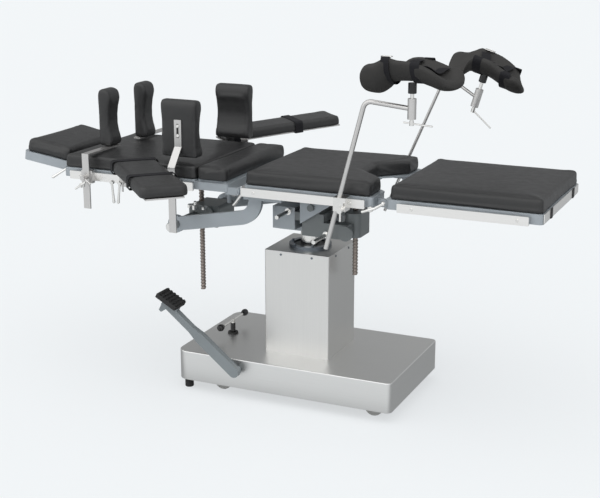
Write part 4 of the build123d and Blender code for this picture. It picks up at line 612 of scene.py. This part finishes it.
def cushion_rings(outline, thickness, top_edge, base_edge, crown, belly, base_crown=0.0):
    """Rings of the outline: out along the base, round the base edge, up the side, round the
    top edge and in along the top. The side swells by belly at mid height."""
    tangent = unit(np.roll(outline, -1, axis=0) - np.roll(outline, 1, axis=0))
    outward = np.stack([tangent[:, 1], -tangent[:, 0]], axis=-1)
    (x, y), (next_x, next_y) = outline.T, np.roll(outline, -1, axis=0).T
    outward = outward * np.sign(np.sum(x * next_y - y * next_x))
    centre = (outline.max(axis=0) + outline.min(axis=0)) / 2
    turn = np.linspace(0, np.pi / 2, 6)
    rise = np.linspace(0, 1, 8)[1:-1]
    flat_rings = 14
    inner = np.linspace(0.03, 1, flat_rings)
    low, high = base_edge, thickness - top_edge
    scale = np.concatenate([inner, np.ones(len(turn) * 2 + len(rise)), inner[::-1]])
    pull = np.concatenate(
        [
            np.full(flat_rings, base_edge),
            base_edge * (1 - np.sin(turn)),
            -belly * np.sin(np.pi * rise),
            top_edge * (1 - np.cos(turn)),
            np.full(flat_rings, top_edge),
        ]
    )
    height = np.concatenate(
        [
            -base_crown * (1 - inner**2.4),
            base_edge * (1 - np.cos(turn)),
            low + (high - low) * rise,
            high + top_edge * np.sin(turn),
            thickness + crown * (1 - inner[::-1] ** 2.4),
        ]
    )
    ring = outline[None] - outward[None] * pull[:, None, None]
    ring = centre + (ring - centre) * scale[:, None, None]
    tall = np.broadcast_to(height[:, None, None], (*ring.shape[:2], 1))
    return np.concatenate([ring, tall], axis=-1)


def drawn_in(outline, tuck):
    """Pulls the middle of each side inwards: nothing at the corners, tuck halfway."""
    low, high = outline.min(axis=0), outline.max(axis=0)
    share = np.abs((outline - (low + high) / 2) / ((high - low) / 2))
    near_corner = np.min(share, axis=1) ** 2
    centre = (low + high) / 2
    return outline - unit(outline - centre) * (tuck * (1 - near_corner))[:, None]


def placed(rings, origin, x_axis, y_axis, z_axis):
    """Turns local (x, y, z) points to the table's frame: origin + x X + y Y + z Z."""
    axes = np.stack([unit(x_axis), unit(y_axis), unit(z_axis)])
    return np.asarray(origin, float) + rings @ axes


print("cushion formula ready")


# %% [markdown]
# Foam pushes its cover outwards, and the cover pushes back at the seams. A short cloth
# simulation with air pressure inside gives that swelling: the form is remeshed evenly, its
# base is held, pressure works for twenty steps, and each point's travel is capped so that
# the pad keeps the size of the real one.

# %% Swelling a pad by simulation
def swollen(pad, voxel, cap, is_held):
    """Remesh, hold the points that is_held names, blow up, cap the travel, subdivide once."""
    scene, air_steps = bpy.context.scene, 20
    remesh = pad.modifiers.new("even_mesh", "REMESH")
    remesh.mode = "VOXEL"
    remesh.voxel_size = voxel
    graph = bpy.context.evaluated_depsgraph_get()
    even = bpy.data.meshes.new_from_object(pad.evaluated_get(graph))
    pad.modifiers.clear()
    pad.data = even
    rest = np.empty(len(even.vertices) * 3)
    even.vertices.foreach_get("co", rest)
    rest = rest.reshape(-1, 3)
    held = pad.vertex_groups.new(name="held")
    held.add(np.flatnonzero(is_held(rest)).tolist(), 1.0, "REPLACE")
    cloth = pad.modifiers.new("air", "CLOTH")
    cloth.settings.quality = 5
    cloth.settings.mass = 0.3
    cloth.settings.tension_stiffness = 30
    cloth.settings.compression_stiffness = 30
    cloth.settings.bending_stiffness = 4
    cloth.settings.use_pressure = True
    cloth.settings.uniform_pressure_force = 4
    cloth.settings.effector_weights.gravity = 0
    cloth.settings.vertex_group_mass = "held"
    for step in range(1, air_steps + 1):
        scene.frame_set(step)
    graph = bpy.context.evaluated_depsgraph_get()
    blown = bpy.data.meshes.new_from_object(pad.evaluated_get(graph))
    moved = np.empty(len(rest) * 3)
    blown.vertices.foreach_get("co", moved)
    travel = moved.reshape(-1, 3) - rest
    length = np.linalg.norm(travel, axis=1, keepdims=True)
    travel = travel * np.minimum(1, cap / np.maximum(length, 1e-9))
    pad.modifiers.clear()
    pad.vertex_groups.clear()
    even.vertices.foreach_set("co", (rest + travel).ravel())
    even.update()
    scene.frame_set(1)
    even.polygons.foreach_set("use_smooth", np.ones(len(even.polygons), bool))
    most = round(float(length.max()) * 1000, 1)
    print(pad.name, "swelled by up to", most, "mm, capped at", cap * 1000)
    finer = pad.modifiers.new("finer", "SUBSURF")
    finer.levels = 1
    finer.render_levels = 1


def cushion(name, outline, origin, axes, thickness, body, tuck=0.003, crown=0.0015, cap=0.003):
    """A slab cushion that replaces the plain solid of the same name."""
    top_edge, base_edge, belly, held_height = 0.009, 0.005, 0.001, 0.010
    outline = drawn_in(outline, tuck)
    rings = cushion_rings(outline, thickness, top_edge, base_edge, crown, belly)
    grid = placed(rings, origin, *axes)
    pad = new_piece(name + "_cover", [grid], cushion_skin, body, crease=80)
    lift = np.asarray(axes[2], float)
    start = np.asarray(origin, float)

    def near_base(points):
        return (points - start) @ lift < held_height

    swollen(pad, 0.006, cap, near_base)
    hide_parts(name)


flat_axes = ((1, 0, 0), (0, 1, 0), (0, 0, 1))


def slab_outline(low_x, high_x, half_width, radius=0.016):
    """A rectangle with rounded corners."""
    return rounded_outline(corners_of((low_x, -half_width), (high_x, half_width)), [radius] * 4)


# %% [markdown]
# Five slabs make the table top. The seat slab has a trapezoid notch at its foot end, where a
# bowl hangs during some operations, so its outline is a polygon of eight corners. The
# head slab lies on its own tilted frame and takes that frame's axes.

# %% The five slabs of the table top
slab_z = 0.7963
slab_thickness = 0.0465
slab_half_width = 0.2485
seat_outline = rounded_outline(
    [
        (-0.1405, -slab_half_width),
        (0.3235, -slab_half_width),
        (0.3235, -0.1450),
        (0.2340, -0.0560),
        (0.2340, 0.0560),
        (0.3235, 0.1450),
        (0.3235, slab_half_width),
        (-0.1405, slab_half_width),
    ],
    [0.016, 0.016, 0.014, 0.020, 0.020, 0.014, 0.016, 0.016],
)
flat_slabs = (
    ("seat", seat_outline, 0.0),
    ("back", slab_outline(-0.8785, -0.3325, slab_half_width), 0.003),
    ("kidney", slab_outline(-0.3275, -0.2145, slab_half_width), 0.003),
    ("leg", slab_outline(0.3895, 0.9025, slab_half_width), 0.003),
)
for body, outline, tuck in flat_slabs:
    cushion(body + "_cushion", outline, (0, 0, slab_z), flat_axes, slab_thickness, body, tuck)
head_lean = math.radians(8)
head_axes = (
    (-math.cos(head_lean), 0, math.sin(head_lean)),
    (0, -1, 0),
    (math.sin(head_lean), 0, math.cos(head_lean)),
)
head_origin = np.array([-0.885, 0, 0.775]) + np.asarray(head_axes[2]) * 0.0213
cushion(
    "head_cushion",
    slab_outline(0.0235, 0.2165, 0.1810, 0.020),
    head_origin,
    head_axes,
    slab_thickness,
    "head",
)
print("five slabs made")

# %% [markdown]
# The armrests are the same kind of slab, long and narrow, on boards that swing out from the
# rails. The far one rises a little to its tip. Each carries two webbing straps that hold
# the arm: a loop is a flat section carried round the pad, so it hugs the cushion.

# %% Armrest pads and their straps
armrests = (("near", -1, 0.0, -0.525), ("far", 1, math.radians(4.5), -0.501))
armrest_yaw = math.radians(46)
strap_places = (0.012, 0.268)
loop_outline = rounded_outline(
    corners_of((-0.0815, -0.0052), (0.0815, 0.0402)), [0.004, 0.004, 0.010, 0.010]
)
for side_name, side, rise, pivot_x in armrests:
    ahead, aside = math.cos(armrest_yaw), side * math.sin(armrest_yaw)
    board_x = np.array([ahead * math.cos(rise), aside * math.cos(rise), math.sin(rise)])
    board_y = unit((-board_x[1], board_x[0], 0))
    board_z = np.cross(board_x, board_y)
    pivot = np.array([pivot_x, side * 0.339, 0.826])
    arm_axes = (board_x, board_y, board_z)
    pad_base = pivot + board_z * 0.005
    cushion(
        "armrest_pad_" + side_name,
        rounded_outline(corners_of((-0.034, -0.079), (0.449, 0.079)), [0.016, 0.022, 0.022, 0.016]),
        pad_base,
        arm_axes,
        0.0375,
        "armrest_" + side_name,
        crown=0.001,
        cap=0.001,
    )
    loops = []
    for reach in strap_places:
        loop_path = np.insert(loop_outline, 0, reach, axis=1)
        web = flat_section(0.032, 0.0014)
        loops.append(carried(placed(loop_path, pad_base, *arm_axes), web, board_x, loop=True))
    new_piece(
        "armrest_straps_" + side_name,
        loops,
        strap_web,
        "armrest_" + side_name,
        loops=True,
    )
print("armrest pads and straps made")


# %% [markdown]
# Shoulder and body supports are upright pads with a waist, so that they hug the patient.
# Their outline is a smooth closed curve through sixteen points, and the cushion formula
# carries it across the pad's width with soft edges on both faces.

# %% Upright pads with a waist
def closed_curve(points, count=170):
    """Points on a closed smooth curve through the given ones."""
    knots = np.asarray(points, float)
    place = np.linspace(0, len(knots), count, endpoint=False)
    index = place.astype(int)
    t = (place - index)[:, None]
    return catmull_rom(*(knots[(index + k) % len(knots)] for k in (-1, 0, 1, 2)), t)


def waisted_pad(name, origin, axes, deep, tall, width, waist, body, top_share):
    """The pad's side view is the outline; its width is the slab's thickness."""
    outline = closed_curve(
        [
            (0.01 * deep, 0.05 * tall),
            (0.0, 0.30 * tall),
            (0.0, 0.60 * tall),
            (0.0, 0.90 * tall),
            (0.16 * deep, 0.985 * tall),
            (0.50 * deep, 0.998 * tall),
            (0.86 * deep, top_share * tall),
            (0.985 * deep, 0.83 * tall),
            (deep - waist * 0.62, 0.66 * tall),
            (deep - waist, 0.46 * tall),
            (deep - waist * 0.72, 0.28 * tall),
            (0.97 * deep, 0.13 * tall),
            (0.985 * deep, 0.05 * tall),
            (0.86 * deep, 0.004 * tall),
            (0.45 * deep, 0.0),
            (0.10 * deep, 0.006 * tall),
        ]
    )
    rings = cushion_rings(outline, width, 0.010, 0.010, 0.0015, 0.0, 0.0015)
    grid = placed(rings, origin, *axes)
    pad = new_piece(name + "_cover", [grid], cushion_skin, body, crease=80)
    start, across = np.asarray(origin, float), np.asarray(axes[1], float)

    def near_foot(points):
        return (points - start) @ across < 0.006

    swollen(pad, 0.005, 0.0025, near_foot)
    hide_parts(name)


for side_name, side in (("near", -1), ("far", 1)):
    waisted_pad(
        "shoulder_pad_" + side_name,
        (-0.7815 + side * 0.015, side * 0.100 + 0.0388, 0.8608),
        ((1, 0, 0), (0, 0, 1), (0, -1, 0)),
        0.0535,
        0.2105,
        0.0775,
        0.014,
        "shoulder_" + side_name,
        0.955,
    )
    waisted_pad(
        "body_pad_" + side_name,
        (-0.408 + side * 0.0712, side * 0.2283, 0.8655),
        ((0, -side, 0), (0, 0, 1), (-side, 0, 0)),
        0.0535,
        0.2035,
        0.1425,
        0.016,
        "side_" + side_name,
        0.965,
    )
print("four upright pads made")


# %% [markdown]
# A leg trough is a bent shell under thick padding. At the head end it turns into a round
# paddle beside the thigh, and at the foot end into one on the other side of the calf. A few
# sections tell the whole form: the place along the leg, the angles of the two rims round the
# leg, how far the middle line drops, and the thickness. A smooth curve runs through them.

# %% Leg troughs
trough_radius = 0.080
trough_sections = np.array(
    [
        (-0.150, -66, -50, -0.054, 0.014),
        (-0.145, -78, -36, -0.054, 0.021),
        (-0.130, -91, -23, -0.054, 0.027),
        (-0.100, -96, -14, -0.050, 0.030),
        (-0.076, -89, 10, -0.029, 0.031),
        (-0.056, -76, 44, -0.006, 0.033),
        (-0.028, -66, 58, 0.0, 0.035),
        (0.020, -62, 60, 0.0, 0.035),
        (0.065, -60, 59, -0.011, 0.035),
        (0.100, -54, 60, -0.023, 0.033),
        (0.126, -30, 59, -0.025, 0.031),
        (0.143, -10, 51, -0.024, 0.027),
        (0.153, 6, 40, -0.023, 0.021),
        (0.158, 14, 28, -0.023, 0.014),
    ]
)
trough_line = along(trough_sections, 150)
low_paddle = trough_line.copy()
beyond_rim = np.minimum(low_paddle[:, 1] + 60, 0)
low_paddle[:, 1] -= beyond_rim * 0.5


def trough_point(x, c, skin, line):
    """The section at x, with c round it: the angle runs between the rims as cos c, and the
    padding swells off the middle surface as sin c to the power 0.6. Skin is added outside."""
    x, c = np.broadcast_arrays(np.asarray(x, float), np.asarray(c, float))
    near, far, drop, wall = (np.interp(x, line[:, 0], line[:, k]) for k in (1, 2, 3, 4))
    middle, half = np.radians(near + far) / 2, np.radians(far - near) / 2
    bulge = np.sign(np.sin(c)) * np.abs(np.sin(c)) ** 0.6
    angle = middle + (half + (wall / 2 + skin) / trough_radius * 0.6) * np.cos(c)
    out = trough_radius - bulge * (wall / 2 + skin)
    return np.stack([x, out * np.sin(angle), trough_radius - out * np.cos(angle) + drop], axis=-1)


def trough(side_name, side, origin, x_axis, z_axis, bands, tails, line):
    """The padded shell, its webbing bands with their loose tails, and a buckle."""
    axes = (x_axis, np.cross(z_axis, x_axis) * -side, z_axis)
    body, web_thickness = "trough_" + side_name, 0.0016
    along_leg = np.asarray(x_axis, float)
    c = np.linspace(0, 2 * np.pi, 90, endpoint=False)
    grid = placed(trough_point(line[:, :1], c[None], 0.0, line), origin, *axes)
    shell_name = "leg_trough_" + side_name + "_cover"
    shell = new_piece(shell_name, [grid], trough_skin, body, crease=85)
    frame_axes = np.stack([unit(axis) for axis in axes])

    def under_middle(points):
        local = (points - np.asarray(origin, float)) @ frame_axes.T
        return (np.abs(local[:, 0]) < 0.03) & (np.abs(local[:, 1]) < 0.03) & (local[:, 2] < 0)

    swollen(shell, 0.005, 0.003, under_middle)
    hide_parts("leg_trough_" + side_name)
    straps = []
    for middle, width in bands:
        round_c = np.linspace(np.pi - 0.35, 2 * np.pi + 0.35, 70)
        path = placed(trough_point(middle, round_c, 0.0022, line), origin, *axes)
        straps.append(carried(path, flat_section(width, web_thickness), along_leg))
    for first, last, sag in tails:
        near_rim = trough_point(first, np.pi - 0.6, 0.003, line)
        far_rim = trough_point(last, 0.6, 0.003, line)
        share = np.linspace(0, 1, 50)[:, None]
        path = near_rim * (1 - share) + far_rim * share
        ripple = 0.003 * np.sin(3 * np.pi * share[:, 0])
        path[:, 2] += -sag * np.sin(np.pi * share[:, 0]) + ripple
        web = flat_section(0.030, web_thickness)
        straps.append(carried(placed(path, origin, *axes), web, along_leg))
    new_piece("trough_straps_" + side_name, straps, strap_web, body)
    seat = trough_point(bands[0][0], np.pi - 0.25, 0.006, line)
    frame_line = rounded_outline(corners_of((-0.017, -0.009), (0.017, 0.009)), [0.004] * 4)
    ring = placed(np.insert(frame_line, 2, 0.0, axis=1) + seat, origin, *axes)
    buckle = carried(ring, round_section(0.0016, 8), np.asarray(z_axis, float), loop=True)
    new_piece(
        "trough_buckle_" + side_name, [buckle], bright_steel, body, loops=True
    )


# Bands are (place along the leg, width); tails are (place on one rim, on the other, sag).
trough(
    "near",
    -1,
    (0.477, -0.290, 1.2120),
    (1, 0, 0),
    (0, 0, 1),
    ((-0.062, 0.026), (0.032, 0.030)),
    ((-0.058, 0.010, 0.014), (0.050, 0.094, 0.016)),
    trough_line,
)
far_pitch = math.radians(16)
far_up = (math.sin(far_pitch), 0, math.cos(far_pitch))
trough(
    "far",
    1,
    (0.5470, 0.290, 1.1630),
    (math.cos(far_pitch), 0, -math.sin(far_pitch)),
    far_up,
    ((-0.022, 0.030), (0.088, 0.036)),
    ((-0.034, 0.020, 0.014), (0.074, 0.040, 0.012)),
    low_paddle,
)
print("leg troughs made")

# %% [markdown]
# Two long screws drive the seat and the back. A thread is a cylinder whose radius depends on
# height and angle together: the same ridge meets the eye one pitch lower after each turn.
# The profile of a strong drive screw is a trapezoid, which a clipped triangle wave gives.


# %% Threads of the drive screws
def thread(start, end, root, crest, pitch, sides=26, per_turn=8):
    """radius = root + (crest - root) * clipped triangle wave of (height / pitch - angle / turn)."""
    start, end = np.asarray(start, float), np.asarray(end, float)
    length = float(np.linalg.norm(end - start))
    rows = int(length / pitch * per_turn)
    height = np.linspace(0, length, rows)[:, None]
    angle = np.linspace(0, 2 * np.pi, sides, endpoint=False)[None]
    wave = np.abs(np.mod(height / pitch - angle / (2 * np.pi), 1) - 0.5) * 2
    radius = root + (crest - root) * np.clip((wave - 0.28) * 2.6, 0, 1)
    direction = unit(end - start)
    side = unit(np.cross(direction, (0, 1, 0)))
    over = np.cross(direction, side)
    return (
        start
        + height[..., None] * direction
        + (radius * np.cos(angle))[..., None] * side
        + (radius * np.sin(angle))[..., None] * over
    )


eye_profile = [(0, 0.0098), (0.001, 0.0108), (0.0186, 0.0108), (0.0196, 0.0098)]
shank_profile = [(0, 0.0080), (0.002, 0.0097), (0.020, 0.0097)]
drive_screws = (
    ("tilt_screw", 0.175, 0.4435, 0.740, "tilt_rod"),
    ("back_screw", -0.445, 0.3105, 0.738, "back_rod"),
)
for screw_name, x, low_z, high_z, body in drive_screws:
    eye = turned((x, -0.0098, high_z), (0, 1, 0), eye_profile)
    bar = thread((x, 0, low_z), (x, 0, high_z - 0.016), 0.0078, 0.00995, 0.012)
    shank = turned((x, 0, high_z - 0.024), (0, 0, 1), shank_profile)
    grids = [bar, shank, eye]
    piece = new_piece(screw_name + "_thread", grids, screw_steel, body, crease=50)
    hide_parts(screw_name)
print("threads cut")

# %% [markdown]
# Small fittings make a machine look real: screws in the rails, clamping levers that hang
# below them, a dark collar where the brake screw enters the cover, nuts on the back
# gearbox, and the steel strip that closes the foot end. Each is a turned profile or a slab.
# The brake's collar, sleeve and knobs come first, and a table then lists the others.

# %% Small fittings
up = (0, 0, 1)
both_sides = (-1, 1)
brake_screw_x = -0.321
collar_ring = round_section(0.0150, 48) + (brake_screw_x, 0)
collar_path = np.insert(collar_ring, 2, 0.1535, axis=1)
collar_section = [(-0.0035, -0.0055), (0.0035, -0.0040), (0.0035, 0.0040), (-0.0035, 0.0055)]
collar = carried(collar_path, collar_section, up, loop=True)
new_piece("brake_collar", [collar], black_rubber, "base", loops=True)
sleeve_profile = [(0, 0.0088), (0.001, 0.0095), (0.032, 0.0095), (0.034, 0.0085)]
post_sleeve = turned((brake_screw_x, 0, 0.158), up, sleeve_profile)
new_piece("brake_post_sleeve", [post_sleeve], black_knob, "brake_screw")
knob_profile = [
    (0, 0.006),
    (0.004, 0.008),
    (0.012, 0.0115),
    (0.022, 0.0135),
    (0.029, 0.0120),
    (0.033, 0.0075),
    (0.0345, 0.003),
]
knobs = [
    turned((brake_screw_x, side * 0.078, 0.202), (0, side, 0), knob_profile) for side in both_sides
]
knob_piece = new_piece(
    "brake_knob_covers", knobs, black_knob, "brake_screw", crease=60
)
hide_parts("brake_knobs")


def rail_screws(places):
    """Screw heads on the outer faces of both rails."""
    return [
        headed((x, -side * 0.2731, 0.7755), (0, -side, 0), 0.0052, 0.0024)
        for x in places
        for side in both_sides
    ]


def mirrored(shape):
    """The grid that shape(side) gives for the near side, then for the far side."""
    return [shape(side) for side in both_sides]


armrest_clamps = ((-1, 0.0), (1, 0.024))
body_bar_face = (0.2351, 0.2358)
gearbox_nut_sizes = ((-0.432, -0.110, 0.012), (-0.402, -0.128, 0.016), (-0.372, -0.112, 0.010))
strip = slab((0.9042, -0.243, 0.7655), (0.9064, 0.243, 0.7955), 0.0004)
end_tabs = [
    slab((0.9065, middle - 0.0125, 0.7640), (0.9090, middle + 0.0125, 0.7975), 0.0005)
    for middle in (-0.150, 0.159)
]
leg_lock = [
    lever((0.299, -0.262, 0.747), (0.351, -0.262, 0.765), 0.0052),
    lever((0.345, -0.262, 0.763), (0.382, -0.262, 0.786), 0.0050, 1.7),
    nut((0.330, -0.2580, 0.7585), (0, -1, 0), 0.0105, 0.006, 0.0015, 0.009),
]
armrest_levers = [
    lever((start + shift, side * 0.3585, 0.782), (end + shift, side * 0.3585, 0.709), 0.0040, 1.35)
    for side, shift in armrest_clamps
    for start, end in ((-0.606, -0.600), (-0.574, -0.583))
]
armrest_nuts = [
    nut((x + shift, side * 0.3525, 0.784), (0, side, 0), 0.008, 0.009, 0.002, 0.006)
    for side, shift in armrest_clamps
    for x in (-0.606, -0.574)
]
shoulder_nuts = mirrored(
    lambda side: nut((-0.757, side * 0.3135, 0.752), (0, side, 0), 0.0105, 0.010, 0.002, 0.008)
)
shoulder_levers = mirrored(
    lambda side: lever((-0.780, side * 0.33, 0.738), (-0.736, side * 0.33, 0.766), 0.0035, 1.2)
)
shoulder_studs = mirrored(
    lambda side: turned(
        (-0.757, side * 0.3225, 0.752), (0, side, 0), [(0, 0.0060), (0.012, 0.0060)], 20
    )
)
head_nuts = mirrored(
    lambda side: nut((-0.896, side * 0.1825, 0.782), (0, side, 0), 0.012, 0.010, 0.003, 0.009, 28)
)
head_levers = mirrored(
    lambda side: lever((-0.898, side * 0.1965, 0.781), (-0.950, side * 0.23, 0.744), 0.0042, 1.25)
)
kidney_shaft = [
    lever((-0.160, -0.168, 0.756), (-0.232, -0.168, 0.738), 0.0095, 1.15),
    lever((-0.190, -0.168, 0.742), (-0.226, -0.168, 0.694), 0.0055, 1.1),
]
gearbox_nuts = [
    nut((x, y, 0.6545), up, 0.011, tall, 0.002, 0.009) for x, y, tall in gearbox_nut_sizes
]
gearbox_stud = nut((-0.402, -0.128, 0.670), up, 0.0055, 0.014, 0.002, 0.004, 20, 0)
drive_arm_washers = mirrored(
    lambda side: nut(
        (-0.4655, side * 0.1985, 0.5985), (0, side, 0), 0.0170, 0.006, 0.002, 0.015, 28, 0
    )
)
drive_arm_bolts = mirrored(
    lambda side: headed((-0.4655, side * 0.2064, 0.5985), (0, side, 0), 0.0095, 0.006, 6)
)
# The slots of the body bars are thin black sheets on the bar faces: painted shade for the dark
# openings.
slot_shade_sheets = mirrored(
    lambda side: slab(
        (-0.4105, min(side * y for y in body_bar_face), 0.936),
        (-0.4015, max(side * y for y in body_bar_face), 0.986),
        0.0002,
    )
)
body_screws = [
    headed((-0.406, side * body_bar_face[1], z), (0, side, 0), 0.0058, 0.0030)
    for z in (0.944, 0.978)
    for side in both_sides
]
stem_sleeve_profile = [(0, 0.0125), (0.001, 0.0138), (0.033, 0.0138), (0.034, 0.0128)]
near_sleeve = turned((0.477, -0.290, 1.1560), up, stem_sleeve_profile)
far_sleeve_start = np.array([0.5481, 0.290, 1.1671]) - 0.050 * np.array(far_up)
far_sleeve = turned(far_sleeve_start, far_up, stem_sleeve_profile)
bright, rubber = (bright_steel, "stainless_bright"), (black_rubber, "black_rubber")
plastic = (black_knob, "knob_plastic")
fittings = (
    ("seat_rail_screws", "seat", bright, rail_screws((-0.094, 0.262))),
    ("leg_rail_screws", "leg", bright, rail_screws((0.477, 0.827))),
    ("leg_end_strip", "leg", (rail_steel, "stainless_bright"), [strip]),
    ("leg_end_tabs", "leg", rubber, end_tabs),
    ("leg_lock_lever", "seat", bright, leg_lock),
    ("armrest_clamp_levers", "back", bright, armrest_levers + armrest_nuts),
    ("shoulder_clamp_screws", "back", bright, shoulder_nuts + shoulder_levers + shoulder_studs),
    ("head_lock_levers", "head", bright, head_nuts + head_levers),
    ("kidney_lift_shaft", "seat", bright, kidney_shaft),
    ("gearbox_nuts", "back_gear", bright, [*gearbox_nuts, gearbox_stud]),
    ("drive_arm_screws", "seat", bright, drive_arm_washers + drive_arm_bolts),
    ("body_bar_slot_shade", "back", rubber, slot_shade_sheets),
    ("body_bar_screws", "back", bright, body_screws),
    ("stem_sleeve_near", "trough_near", plastic, [near_sleeve]),
    ("stem_sleeve_far", "trough_far", plastic, [far_sleeve]),
)
for name, body, (finish, slot), grids in fittings:
    new_piece(name, grids, finish, body)
print(len(fittings), "small fittings in the table, and those of the brake")
